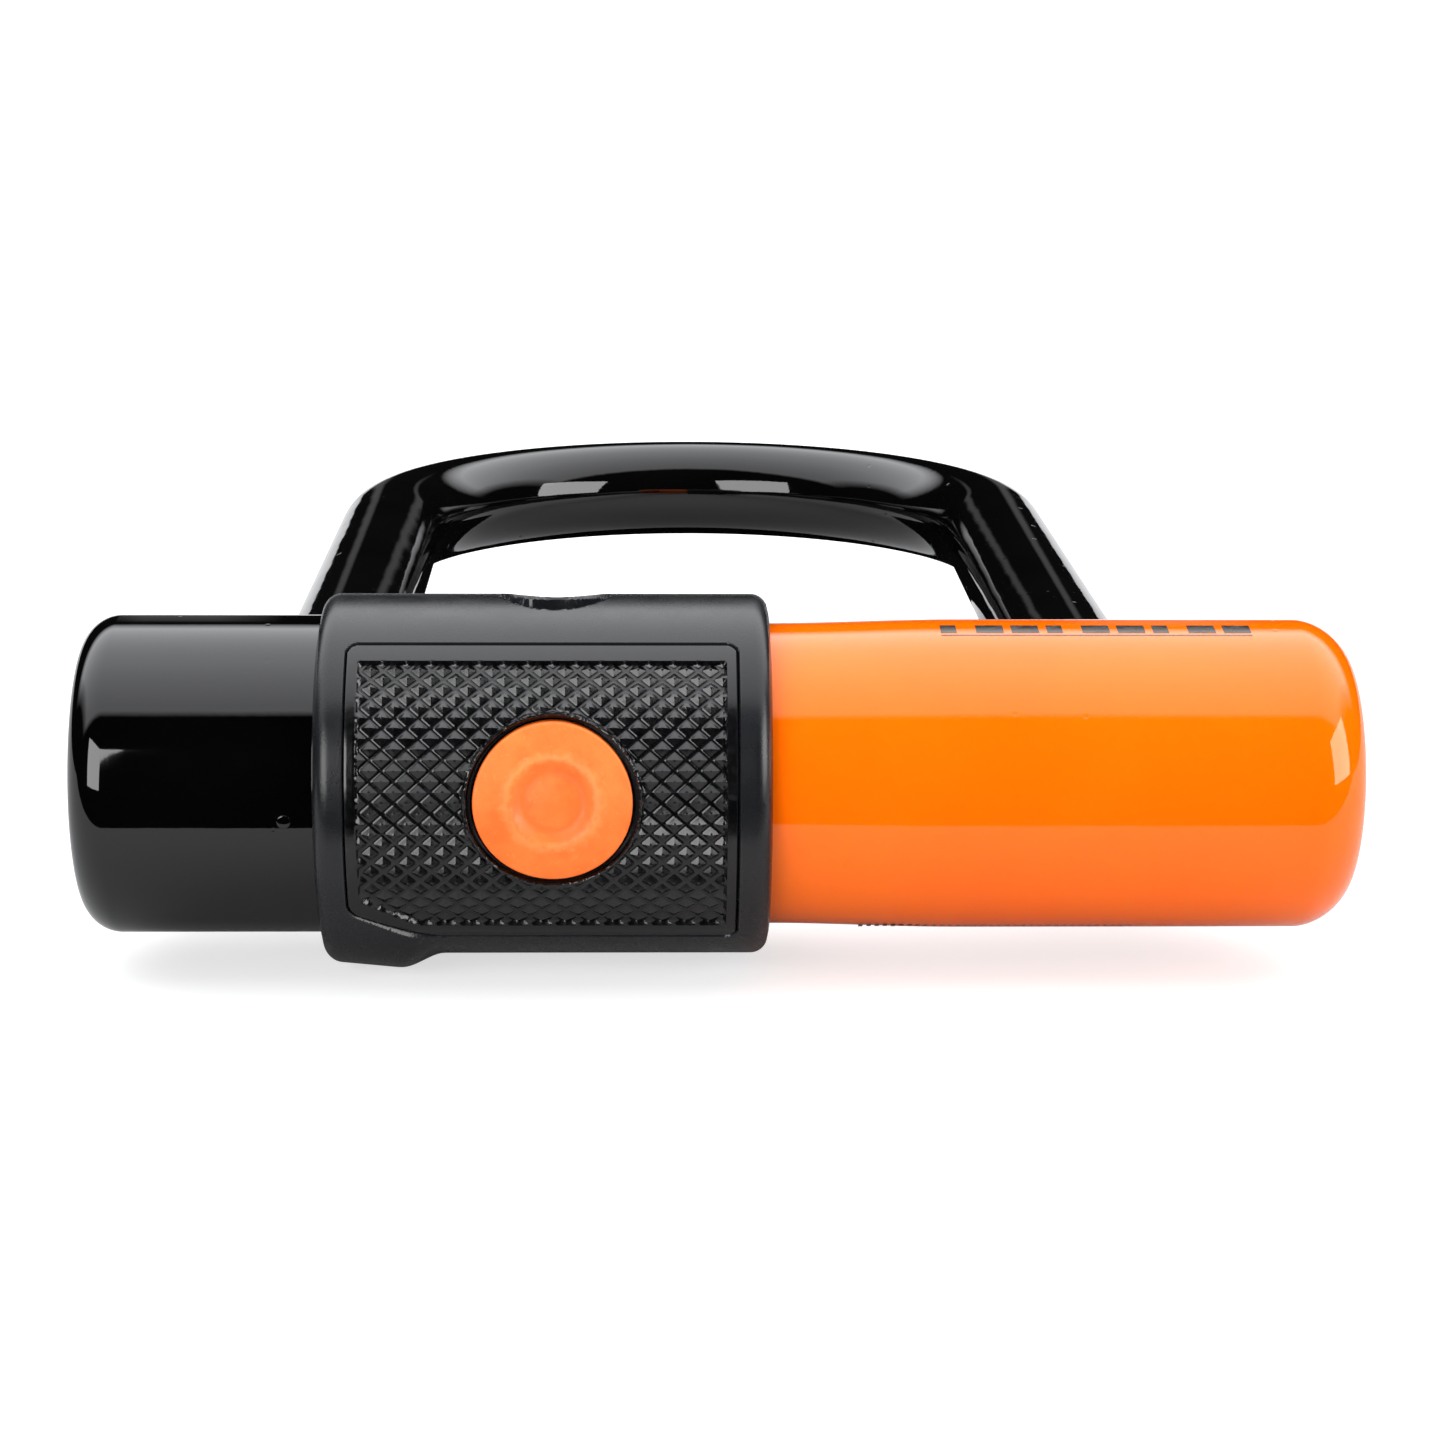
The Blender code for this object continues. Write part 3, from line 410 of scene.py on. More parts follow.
MATERIALS = {
    "black_vinyl": vinyl("black_vinyl", (0.0006, 0.0006, 0.0007), (0.0012, 0.0012, 0.0013)),
    "shackle_vinyl": vinyl("shackle_vinyl", (0.0007, 0.0007, 0.0008), (0.0016, 0.0016, 0.0017), 0.05, 1.6),
    "orange_vinyl": vinyl(
        "orange_vinyl", (0.94, 0.132, 0.0005), (0.97, 0.150, 0.0015), 0.03, 0.6, 0.25, (1.0, 0.98, 0.72)
    ),
    "black_plastic": moulded_plastic(
        "black_plastic", (0.0060, 0.0065, 0.0078), (0.0085, 0.009, 0.0105), 0.27
    ),
    "pad_rubber": pad_rubber(),
    "orange_rubber": plug_rubber(),
    "seal_rubber": plain_rubber(),
    "hardened_steel": ground_metal(
        "hardened_steel", (0.20, 0.20, 0.21), (0.34, 0.34, 0.35), 0.34, (0.1, 1.0, 1.0), 0.08
    ),
    "bright_steel": ground_metal(
        "bright_steel", (0.46, 0.46, 0.47), (0.60, 0.60, 0.61), 0.26, (1.0, 1.0, 0.08)
    ),
    "brass": ground_metal("brass", (0.60, 0.40, 0.15), (0.78, 0.57, 0.26), 0.3),
    "print_ink": ink(),
}


# ---- mesh helpers


def link_mesh(name, mesh, material, matrix):
    """Links a mesh as an object, carried from its own frame into the row's."""
    mesh.transform(matrix)
    mesh.shade_smooth()
    mesh.set_sharp_from_angle(angle=SHARP_ANGLE)
    piece = bpy.data.objects.new(name, mesh)
    bpy.context.scene.collection.objects.link(piece)
    mesh.materials.clear()
    if material:
        mesh.materials.append(material)
    return piece


def from_bmesh(name, bm, material=None, matrix=Matrix.Identity(4)):
    bmesh.ops.recalc_face_normals(bm, faces=bm.faces)
    mesh = bpy.data.meshes.new(name)
    bm.to_mesh(mesh)
    bm.free()
    return link_mesh(name, mesh, material, matrix)


def turned(name, outline, material=None, matrix=Matrix.Identity(4), axis="X", centre=(0, 0, 0), steps=FINE):
    """A solid of revolution from (along, radius) points: a closed ring, or a line from axis to axis."""
    bm = bmesh.new()
    verts = [bm.verts.new((along, radius, 0.0)) for along, radius in outline]
    hollow = outline[0][1] > 0.0
    following = verts[1:] + verts[:1] if hollow else verts[1:]
    edges = [bm.edges.new(pair) for pair in zip(verts, following)]
    bmesh.ops.spin(
        bm, geom=verts + edges, cent=(0, 0, 0), axis=(1, 0, 0), angle=math.tau, steps=steps, use_merge=True
    )
    bmesh.ops.remove_doubles(bm, verts=bm.verts, dist=1e-7)
    bmesh.ops.rotate(bm, verts=bm.verts, cent=(0, 0, 0), matrix=TURN_TO[axis])
    bmesh.ops.translate(bm, verts=bm.verts, vec=centre)
    return from_bmesh(name, bm, material, matrix)


def carve(piece, cutter):
    """Cuts a cutter's shape out of a piece and removes the cutter."""
    modifier = piece.modifiers.new("carve", "BOOLEAN")
    modifier.object = cutter
    graph = bpy.context.evaluated_depsgraph_get()
    carved = bpy.data.meshes.new_from_object(piece.evaluated_get(graph))
    piece.modifiers.clear()
    worn_out = piece.data
    piece.data = carved
    bpy.data.meshes.remove(worn_out)
    bpy.data.objects.remove(cutter)
    carved.shade_smooth()
    carved.set_sharp_from_angle(angle=SHARP_ANGLE)


def drill(piece, radius, start, matrix, axis, centre_x):
    """Cuts a round hole along an axis, from a distance off the bar's middle line to beyond the collar."""
    end = COLLAR_RADIUS + 0.004
    outline = [(start, 0.0), (start, radius), (end, radius), (end, 0.0)]
    carve(piece, turned("hole_cutter", outline, None, matrix, axis, (centre_x, 0.0, 0.0), MEDIUM))


def rounded_box(size, centre, corner, segments, matrix):
    """A box-shaped cutter whose upright edges are rounded."""
    bm = bmesh.new()
    bmesh.ops.create_cube(bm, size=1.0)
    bmesh.ops.scale(bm, verts=bm.verts, vec=size)
    bmesh.ops.translate(bm, verts=bm.verts, vec=centre)
    upright = [edge for edge in bm.edges if abs(edge.verts[0].co.z - edge.verts[1].co.z) > size[2] / 2]
    bmesh.ops.bevel(bm, geom=upright, offset=corner, segments=segments, affect="EDGES", profile=0.5)
    return from_bmesh("slot_cutter", bm, None, matrix)


def circle(radius, steps):
    """Evenly spaced points round a circle."""
    angles = [math.tau * step / steps for step in range(steps)]
    return [(radius * math.cos(angle), radius * math.sin(angle)) for angle in angles]


def saddle_ring(centre_x, side, radius, height, steps):
    """A ring about a line along Y, lying on a cylinder of radius height about the crossbar's axis."""
    return [(centre_x + out, side * math.sqrt(height**2 - up**2), up) for out, up in circle(radius, steps)]


def skin_rings(rings, loop=False, capped=False):
    """Vertices and faces over a row of equal closed rings."""
    count = len(rings[0])
    verts = [point for ring in rings for point in ring]
    faces = []
    rows = len(rings)
    for row in range(rows if loop else rows - 1):
        here, there = row * count, (row + 1) % rows * count
        for step in range(count):
            after = (step + 1) % count
            faces.append((here + step, here + after, there + after, there + step))
    if capped:
        faces.append(tuple(range(count)))
        faces.append(tuple(range((rows - 1) * count, rows * count)))
    return verts, faces


def mesh_of(name, verts, faces, material, matrix):
    """A mesh object whose faces are turned outward."""
    mesh = bpy.data.meshes.new(name)
    mesh.from_pydata(verts, [], faces)
    bm = bmesh.new()
    bm.from_mesh(mesh)
    bpy.data.meshes.remove(mesh)
    return from_bmesh(name, bm, material, matrix)


def weld(piece):
    """Joins the vertices that lie in one place and turns the faces outward."""
    bm = bmesh.new()
    bm.from_mesh(piece.data)
    bmesh.ops.remove_doubles(bm, verts=bm.verts, dist=1e-6)
    bmesh.ops.recalc_face_normals(bm, faces=bm.faces)
    bm.to_mesh(piece.data)
    bm.free()


def arc(centre, radius, start_deg, end_deg, steps):
    """Points of an arc about (along, out), angles from the along direction towards out."""
    points = []
    for step in range(steps + 1):
        angle = math.radians(start_deg + (end_deg - start_deg) * step / steps)
        points.append((centre[0] + radius * math.cos(angle), centre[1] + radius * math.sin(angle)))
    return points


def stops(*spans):
    """Rising places through spans of (start, end, spacing), with no place twice."""
    places = []
    for start, end, spacing in spans:
        count = max(1, round((end - start) / spacing))
        places += [start + (end - start) * index / count for index in range(count)]
    return [*places, spans[-1][1]]


def finish_piece(piece, body, slot, *nodes):
    """Says which body a piece rides on, and hides the CAD nodes it stands for. The slot argument is not used.
    """
    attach(piece, body)
    if nodes:
        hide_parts(*nodes)


# ---- shackle


def swept_ring(x, y, across, radius, steps):
    """A ring of points round one station of the shackle's middle line."""
    return [(x + out * across[0], y + out * across[1], up) for out, up in circle(radius, steps)]


def shackle_rings(foot, radius, steps, bend_steps, leg_steps):
    """Rings from foot to foot. foot holds (y, radius) points from the foot's tip up to the full radius."""
    stations = list(foot)
    start = foot[-1][0]
    stations += [(start + (BEND_Y - start) * step / leg_steps, radius) for step in range(1, leg_steps)]
    rings = [swept_ring(-LEG_OFFSET, y, (-1.0, 0.0), r, steps) for y, r in stations]
    for step in range(bend_steps + 1):
        angle = math.pi * (1 - step / bend_steps)
        across = (math.cos(angle), math.sin(angle))
        x, y = LEG_OFFSET * across[0], BEND_Y + LEG_OFFSET * across[1]
        rings.append(swept_ring(x, y, across, radius, steps))
    rings += [swept_ring(LEG_OFFSET, y, (1.0, 0.0), r, steps) for y, r in reversed(stations)]
    return rings


def shackle_coating():
    """The vinyl tube over the shackle, its two ends rolled over."""
    wall = COATING_RADIUS - COATING_BORE
    bead = arc((COATING_END_Y + wall / 2, COATING_BORE + wall / 2), wall / 2, 270, 90, 8)
    outer = shackle_rings(bead, COATING_RADIUS, 72, 120, 10)
    inner = shackle_rings([(COATING_END_Y + wall / 2, COATING_BORE)], COATING_BORE, 72, 30, 2)
    verts, faces = skin_rings(outer)
    bore_verts, bore_faces = skin_rings(inner)
    offset = len(verts)
    faces += [tuple(offset + index for index in face) for face in bore_faces]
    piece = mesh_of("coating", verts + bore_verts, faces, MATERIALS["shackle_vinyl"], SHACKLE)
    weld(piece)
    finish_piece(piece, "shackle", "black_vinyl", "shackle_coating")


def shackle_rod():
    """The steel bar, whose feet have round chins and a notch each for a deadbolt."""
    chin = 0.0012
    tip = [(y, ROD_RADIUS - chin + out) for y, out in arc((FOOT_Y + chin, 0.0), chin, 180, 90, 6)]
    verts, faces = skin_rings(shackle_rings(tip, ROD_RADIUS, 64, 36, 4), capped=True)
    piece = mesh_of("steel_shackle", verts, faces, MATERIALS["hardened_steel"], SHACKLE)
    width = NOTCH_DEPTH + 0.002
    size = (width, 2 * NOTCH_HALF_HEIGHT, 4 * ROD_RADIUS)
    for side in (-1, 1):
        x = side * (LEG_OFFSET - ROD_RADIUS + NOTCH_DEPTH - width / 2)
        carve(piece, rounded_box(size, (x, 0.0, 0.0), 0.0009, 6, SHACKLE))
    finish_piece(piece, "shackle", "hardened_steel", "shackle_rod")


# ---- crossbar


def cap_outline(radius, crown, corner):
    """(depth, radius) points from a flat centre, over a shallow crown and round a corner to the side."""
    points = [(0.0, 0.0), (0.0, FLAT_RADIUS)]
    straight = radius - corner
    crown_steps, corner_steps = 10, 28
    for step in range(1, crown_steps + 1):
        out = FLAT_RADIUS + (straight - FLAT_RADIUS) * step / crown_steps
        points.append((crown * (out**2 - FLAT_RADIUS**2) / radius**2, out))
    for step in range(1, corner_steps + 1):
        angle = 0.5 * math.pi * step / corner_steps
        out = straight + corner * math.sin(angle)
        dome = crown * (out**2 - FLAT_RADIUS**2) / radius**2
        points.append((dome + corner * (1 - math.cos(angle)), out))
    return points


def leg_hole(piece, side):
    """Cuts the hole for one shackle leg's bush through the crossbar's +Y wall."""
    ease = 0.0001
    drill(piece, GROMMET_RADIUS + ease, HOLE_START, BAR, "Y", SHACKLE_X + side * LEG_OFFSET)


def black_sleeve():
    """The left end of the crossbar: a nearly flat cap and a straight sleeve over the tube."""
    cap = cap_outline(BLACK_RADIUS, BLACK_CROWN, BLACK_CORNER)
    outline = [(BLACK_LEFT + depth, out) for depth, out in cap]
    start = outline[-1][0] + SLEEVE_STEP
    outline += [(x, BLACK_RADIUS) for x in stops((start, BLACK_RIGHT, SLEEVE_STEP))]
    bore, bore_end = TUBE_RADIUS + GAP, TUBE_LEFT - GAP
    outline += [(BLACK_RIGHT, bore), (bore_end, bore), (bore_end, 0.0)]
    piece = turned("black_end_sleeve", outline, MATERIALS["black_vinyl"], BAR)
    leg_hole(piece, -1)
    finish_piece(piece, "crossbar", "black_vinyl", "black_sleeve")


def vinyl_blister():
    """A tiny round blister in the black vinyl, where a bubble was trapped."""
    bm = bmesh.new()
    bmesh.ops.create_uvsphere(bm, u_segments=32, v_segments=24, radius=1.0)
    bmesh.ops.scale(bm, verts=bm.verts, vec=(BLISTER_RADIUS, BLISTER_HEIGHT, BLISTER_RADIUS))
    bmesh.ops.translate(bm, verts=bm.verts, vec=(0.0, -BLACK_RADIUS, 0.0))
    turn = Matrix.Translation((BLISTER_X, 0.0, 0.0)) @ Matrix.Rotation(-math.radians(BLISTER_DEG), 4, "X")
    piece = from_bmesh("vinyl_blister", bm, MATERIALS["black_vinyl"], BAR @ turn)
    finish_piece(piece, "crossbar", "black_vinyl")


def orange_sleeve():
    """The right end of the crossbar: a domed cap and a sleeve that narrows towards the collar."""
    cap = cap_outline(ORANGE_RADIUS, ORANGE_CROWN, ORANGE_CORNER)
    outline = [(ORANGE_RIGHT - depth, out) for depth, out in cap]
    start = outline[-1][0] - SLEEVE_STEP
    outline += [(x, ORANGE_RADIUS) for x in reversed(stops((ORANGE_NECK_END, start, SLEEVE_STEP)))]
    shrink, neck_step = ORANGE_RADIUS - ORANGE_NECK_RADIUS, 0.001
    for x in reversed(stops((COLLAR_RIGHT, ORANGE_NECK_END - neck_step, neck_step))):
        share = smooth_step((ORANGE_NECK_END - x) / (ORANGE_NECK_END - COLLAR_RIGHT))
        outline.append((x, ORANGE_RADIUS - shrink * share))
    bore, bore_end = TUBE_RADIUS + GAP, TUBE_RIGHT + GAP
    outline += [(ORANGE_LEFT, ORANGE_NECK_RADIUS), (ORANGE_LEFT, bore), (bore_end, bore), (bore_end, 0.0)]
    piece = turned("orange_end_sleeve", outline, MATERIALS["orange_vinyl"], BAR)
    leg_hole(piece, 1)
    finish_piece(piece, "crossbar", "orange_vinyl", "orange_sleeve")


def centre_sleeve():
    """The plain sleeve that the collar turns on, with a hole for the housing's neck."""
    bore, chamfer = TUBE_RADIUS + GAP, 0.0002
    outline = [(CENTRE_LEFT, bore), (CENTRE_LEFT, CENTRE_RADIUS - chamfer)]
    outline.append((CENTRE_LEFT + chamfer, CENTRE_RADIUS))
    outline += [(x, CENTRE_RADIUS) for x in stops((CENTRE_LEFT + 0.004, CENTRE_RIGHT - 0.004, 0.002))]
    outline += [(CENTRE_RIGHT - chamfer, CENTRE_RADIUS), (CENTRE_RIGHT, CENTRE_RADIUS - chamfer)]
    outline.append((CENTRE_RIGHT, bore))
    piece = turned("bearing_sleeve", outline, MATERIALS["black_plastic"], BAR)
    drill(piece, HOUSING_NECK_RADIUS + GAP, HOLE_START, BAR, "Z", CORE_X)
    finish_piece(piece, "crossbar", "black_plastic", "centre_sleeve")


def leg_grommets():
    """Rubber bushes flush with the sleeves, each with a small bead round the leg."""
    bore = COATING_RADIUS + 0.00015
    bead, rolled_edge, sink = 0.00012, 0.00025, 0.0001
    for side, label, sleeve_radius in ((-1, "left", BLACK_RADIUS), (1, "right", ORANGE_RADIUS)):
        centre_x = SHACKLE_X + side * LEG_OFFSET
        rings = [saddle_ring(centre_x, 1, bore, TUBE_RADIUS + GAP, MEDIUM)]
        for radius in stops((bore, GROMMET_RADIUS, 0.0001)):
            share = (radius - bore) / (GROMMET_RADIUS - bore)
            rise = bead * math.sin(math.pi * share) - rolled_edge * abs(2 * share - 1) ** 6
            rings.append(saddle_ring(centre_x, 1, radius, sleeve_radius - sink + rise, MEDIUM))
        rings.append(saddle_ring(centre_x, 1, GROMMET_RADIUS, TUBE_RADIUS + GAP, MEDIUM))
        verts, faces = skin_rings(rings, loop=True)
        piece = mesh_of(f"{label}_leg_bush", verts, faces, MATERIALS["seal_rubber"], BAR)
        finish_piece(piece, "crossbar", "seal_rubber", f"{label}_leg_grommet")


def key_face():
    """The turned face of the core: a rounded rim, a shallow dish and the key's slot."""
    rim, dish_top = 0.0004, FACE_TOP - 0.00025
    outline = [(FACE_BOTTOM, 0.0), (FACE_BOTTOM, FACE_RADIUS), (FACE_TOP - rim, FACE_RADIUS)]
    outline += arc((FACE_TOP - rim, FACE_RADIUS - rim), rim, 90, 0, 5)[1:]
    outline += [(FACE_TOP, FACE_RADIUS - 0.0009), (dish_top, FACE_RADIUS - 0.0013)]
    outline += [(dish_top, FACE_RADIUS - 0.0040), (dish_top, 0.0)]
    piece = turned("core_face", outline, MATERIALS["bright_steel"], KEY, "Z", steps=MEDIUM)
    size, centre = (KEYWAY_WIDTH, KEYWAY_LENGTH, 0.006), (0.0, 0.0, (FACE_BOTTOM + FACE_TOP) / 2)
    carve(piece, rounded_box(size, centre, 0.0006, 5, KEY))
    finish_piece(piece, "key_core", "bright_steel", "key_face_disc")


def wrapped_block(bm, x_range, deg_range, radii, cells=6):
    """Adds a thin plate bent round the crossbar's axis, at angles from -Y towards +Z."""
    start, end = (math.radians(degrees) for degrees in deg_range)
    angles = [start + (end - start) * cell / cells for cell in range(cells + 1)]
    rows = []
    for radius in radii:
        for x in x_range:
            points = [(x, -radius * math.cos(angle), radius * math.sin(angle)) for angle in angles]
            rows.append([bm.verts.new(point) for point in points])
    low_left, low_right, high_left, high_right = rows
    around = [low_left, low_right, high_right, high_left]
    for first, second in zip(around, [*around[1:], around[0]]):
        for cell in range(cells):
            bm.faces.new((first[cell], second[cell], second[cell + 1], first[cell + 1]))
    for end in (0, -1):
        bm.faces.new([row[end] for row in around])


def print_marks():
    """Plain marks printed on the orange sleeve: blocks and a rule near the top, ticks underneath."""
    bm = bmesh.new()
    radii = (ORANGE_RADIUS - 0.0001, ORANGE_RADIUS + 0.00002)
    block_deg, rule_deg, tick_top_deg = (77.5, 85.5), (75.2, 76.0), -64.5
    top_left, top_right, blocks = SHACKLE_X + 0.0264, SHACKLE_X + 0.0639, 9
    pitch = (top_right - top_left) / blocks
    for index in range(blocks):
        left = top_left + index * pitch
        width = pitch * (0.78 if index % 3 else 0.45)
        wrapped_block(bm, (left, left + width), block_deg, radii)
    wrapped_block(bm, (top_left, top_right - pitch * 0.22), rule_deg, radii, 2)
    under_left, under_right, ticks = SHACKLE_X + 0.0170, SHACKLE_X + 0.0500, 34
    tick_width = 0.0005
    for index in range(ticks):
        left = under_left + (under_right - under_left) * index / ticks
        height = 2.2 if index % 4 else 3.2
        wrapped_block(bm, (left, left + tick_width), (tick_top_deg - height, tick_top_deg), radii, 2)
    piece = from_bmesh("printed_marks", bm, MATERIALS["print_ink"], BAR)
    finish_piece(piece, "crossbar", "orange_vinyl")


# ---- cover collar


def lip_height(x, angle):
    """How far the thumb lip stands out of the collar, at a place along it and an angle from -Z in degrees."""
    rise = (x - COLLAR_LEFT) / (LIP_PEAK_X - COLLAR_LEFT)
    crest = LIP_LEFT_HEIGHT + (LIP_HEIGHT - LIP_LEFT_HEIGHT) * min(1.0, max(0.0, rise))
    fall = smooth_step((LIP_END_X - x) / (LIP_END_X - LIP_FALL_X))
    flank = smooth_step((LIP_HALF_DEG - abs(angle)) / LIP_FLANK_DEG)
    return crest * fall * flank


def smooth_maximum(first, second, radius):
    """The greater of two distances, with the crease between them rounded."""
    overlap = max(radius - abs(first - second), 0.0) / radius
    return max(first, second) + overlap * overlap * radius * 0.25


def pad_distance(x, arc_length, left, right, half_arc, corner_x, corner_arc, corner_round):
    """Distance outside a round-cornered rectangle with its lower left corner cut off, less than 0 inside."""
    middle_x, half_x = (left + right) / 2, (right - left) / 2
    out_x = abs(x - middle_x) - half_x + corner_round
    out_y = abs(arc_length) - half_arc + corner_round
    outside = math.hypot(max(out_x, 0.0), max(out_y, 0.0))
    box_distance = outside + min(max(out_x, out_y), 0.0) - corner_round
    run, rise = corner_x - left, half_arc - corner_arc
    length = math.hypot(run, rise)
    normal_x, normal_y = -rise / length, -run / length
    corner_distance = (x - corner_x) * normal_x + (arc_length + half_arc) * normal_y
    return smooth_maximum(box_distance, corner_distance, corner_round)


def to_arc(degrees):
    return math.radians(degrees) * COLLAR_RADIUS


def pad_edge(x, arc_length):
    """Distance outside the pad's outline."""
    half, corner = to_arc(PAD_HALF_DEG), to_arc(PAD_CORNER_DEG)
    return pad_distance(x, arc_length, PAD_LEFT, PAD_RIGHT, half, PAD_CORNER_X, corner, PAD_CORNER_ROUND)


def field_edge(x, arc_length):
    """Distance outside the pyramids' field."""
    half, corner = to_arc(FIELD_HALF_DEG), to_arc(FIELD_CORNER_DEG)
    left, right = PAD_LEFT + FIELD_INSET_X, PAD_RIGHT - FIELD_INSET_X
    edge = pad_distance(x, arc_length, left, right, half, PAD_CORNER_X - 0.0004, corner, 0.0003)
    return max(edge, PAD_HOLE_RADIUS + PAD_RIM_WIDTH - plug_distance(x, arc_length))


def plug_distance(x, arc_length):
    """Distance from the plug's axis of a place on the collar's surface."""
    return math.hypot(x - CORE_X, COLLAR_RADIUS * math.sin(arc_length / COLLAR_RADIUS))


def collar_surface(x, angle):
    """The collar's outer radius at a place along it and an angle from -Y towards +Z."""
    from_left = min(max(x - COLLAR_LEFT, 0.0), COLLAR_FILLET)
    from_right = min(max(COLLAR_RIGHT - x, 0.0), COLLAR_FILLET)
    inset = COLLAR_FILLET - min(from_left, from_right)
    radius = COLLAR_RADIUS - COLLAR_FILLET + math.sqrt(COLLAR_FILLET**2 - inset**2)
    from_lip = math.degrees(math.remainder(angle + 0.5 * math.pi, math.tau))
    radius += lip_height(x, from_lip)
    window = math.hypot(x - CORE_X, COLLAR_RADIUS * math.cos(angle)) if math.sin(angle) > 0 else 1.0
    mouth = 1 - smooth_step((window - WINDOW_RADIUS) / (WINDOW_MOUTH_RADIUS - WINDOW_RADIUS))
    radius -= WINDOW_MOUTH_DEPTH * mouth * mouth
    if abs(angle) < 0.5 * math.pi:
        edge = pad_edge(x, COLLAR_RADIUS * angle) - PAD_SEAM
        radius -= (radius - RECESS_FLOOR_RADIUS) * smooth_step(0.5 - edge / RECESS_WALL)
    return radius


def notch_shift(angle):
    """How far the collar's left end steps back, at an angle from -Y towards +Z."""
    degrees = math.degrees(angle) % 360.0
    rise = smooth_step((degrees - LEG_NOTCH_DEG[0] + LEG_NOTCH_BLEND_DEG / 2) / LEG_NOTCH_BLEND_DEG)
    fall = smooth_step((LEG_NOTCH_DEG[1] + LEG_NOTCH_BLEND_DEG / 2 - degrees) / LEG_NOTCH_BLEND_DEG)
    return LEG_NOTCH_DEPTH * min(rise, fall)


def collar_stations():
    """Places along the collar, close together wherever its surface turns quickly."""
    fine = 0.00016
    return stops(
        (COLLAR_LEFT, COLLAR_LEFT + COLLAR_FILLET, 0.0002),
        (COLLAR_LEFT + COLLAR_FILLET, PAD_LEFT - 0.0006, 0.0004),
        (PAD_LEFT - 0.0006, PAD_CORNER_X + 0.001, fine),
        (PAD_CORNER_X + 0.001, CORE_X - WINDOW_MOUTH_RADIUS, 0.0005),
        (CORE_X - WINDOW_MOUTH_RADIUS, CORE_X + WINDOW_MOUTH_RADIUS, 0.0003),
        (CORE_X + WINDOW_MOUTH_RADIUS, PAD_RIGHT - 0.0018, 0.0006),
        (PAD_RIGHT - 0.0018, PAD_RIGHT + 0.0006, fine),
        (PAD_RIGHT + 0.0006, COLLAR_RIGHT - COLLAR_FILLET, 0.0006),
        (COLLAR_RIGHT - COLLAR_FILLET, COLLAR_RIGHT, 0.0002),
    )


def collar_angles():
    """Angles round the collar in degrees, from -Y towards +Z, as close as its surface needs."""
    corner_top = PAD_HALF_DEG + 2.0
    return stops(
        (-180.0, -corner_top, 1.5),
        (-corner_top, -FIELD_CORNER_DEG, 0.42),
        (-FIELD_CORNER_DEG, PAD_HALF_DEG - 5.0, 1.2),
        (PAD_HALF_DEG - 5.0, corner_top, 0.42),
        (corner_top, 68.0, 1.2),
        (68.0, 112.0, 0.8),
        (112.0, 178.5, 1.5),
    )


def cover_collar():
    """The collar's shell as rings along it, with the pad's recess, the window, the leg notch and the lip."""
    angles = [math.radians(degrees) for degrees in collar_angles()]
    ease = COLLAR_LEFT + 0.012
    rings = []
    for x in collar_stations():
        share = smooth_step((ease - x) / (ease - COLLAR_LEFT - COLLAR_FILLET)) if x < ease else 0.0
        ring = []
        for angle in angles:
            radius = collar_surface(x, angle)
            shifted = x + notch_shift(angle) * share
            ring.append((shifted, -radius * math.cos(angle), radius * math.sin(angle)))
        rings.append(ring)
    for x, notched in ((COLLAR_RIGHT, 0.0), (COLLAR_LEFT, 1.0)):
        ring = []
        for angle in angles:
            shifted = x + notch_shift(angle) * notched
            ring.append((shifted, -COLLAR_BORE * math.cos(angle), COLLAR_BORE * math.sin(angle)))
        rings.append(ring)
    verts, faces = skin_rings(rings, loop=True)
    piece = mesh_of("collar_body", verts, faces, MATERIALS["black_plastic"], COLLAR)
    inside = COLLAR_BORE - 0.009
    drill(piece, WINDOW_RADIUS, inside, COLLAR, "Z", CORE_X)
    drill(piece, PLUG_RADIUS + GAP, inside, COLLAR, "-Y", CORE_X)
    finish_piece(piece, "collar", "black_plastic", "cover_collar")


def pyramid_height(x, arc_length):
    """Height over flat valleys of a staggered field of pyramids on diamond-shaped feet, from 0 to 1."""
    across = (x - CORE_X) / PYRAMID_PITCH
    along = arc_length / PYRAMID_ARC
    first = abs(math.remainder(across + along, 1.0)) * 2
    second = abs(math.remainder(across - along, 1.0)) * 2
    return max(0.0, 1 - max(first, second) / PYRAMID_SHARE)


def pad_surface(x, arc_length):
    """The pad's outer radius at a place on it."""
    roll, tip_drop, field_wall, blunt_tip = 0.00016, 0.00004, 0.00034, 0.95
    inside = min(roll, max(0.0, -pad_outside(x, arc_length)))
    border = PAD_TOP_RADIUS - roll + math.sqrt(roll**2 - (roll - inside) ** 2)
    peak = min(pyramid_height(x, arc_length), blunt_tip)
    field = PAD_TOP_RADIUS - tip_drop - PYRAMID_HEIGHT * (1 - peak)
    share = smooth_step(0.5 - field_edge(x, arc_length) / field_wall)
    return border + (field - border) * share


def pad_outside(x, arc_length):
    """Distance outside the pad's outline or inside its hole, less than 0 on the pad."""
    return max(pad_edge(x, arc_length), PAD_HOLE_RADIUS - plug_distance(x, arc_length))


def drawn_in(x, arc_length):
    """The nearest place on the pad's outline to a place just outside it."""
    for _ in range(3):
        distance = pad_outside(x, arc_length)
        nudge = 1e-6
        slope_x = (pad_outside(x + nudge, arc_length) - distance) / nudge
        slope_y = (pad_outside(x, arc_length + nudge) - distance) / nudge
        steepness = slope_x**2 + slope_y**2
        x -= distance * slope_x / steepness
        arc_length -= distance * slope_y / steepness
    return x, arc_length


def rises_diagonally(column, row, period):
    """Whether a pyramid's facet climbs along the first diagonal there, so that its level lines cross it."""
    across, along = column / period, row / period
    return abs(math.remainder(across + along, 1.0)) > abs(math.remainder(across - along, 1.0))


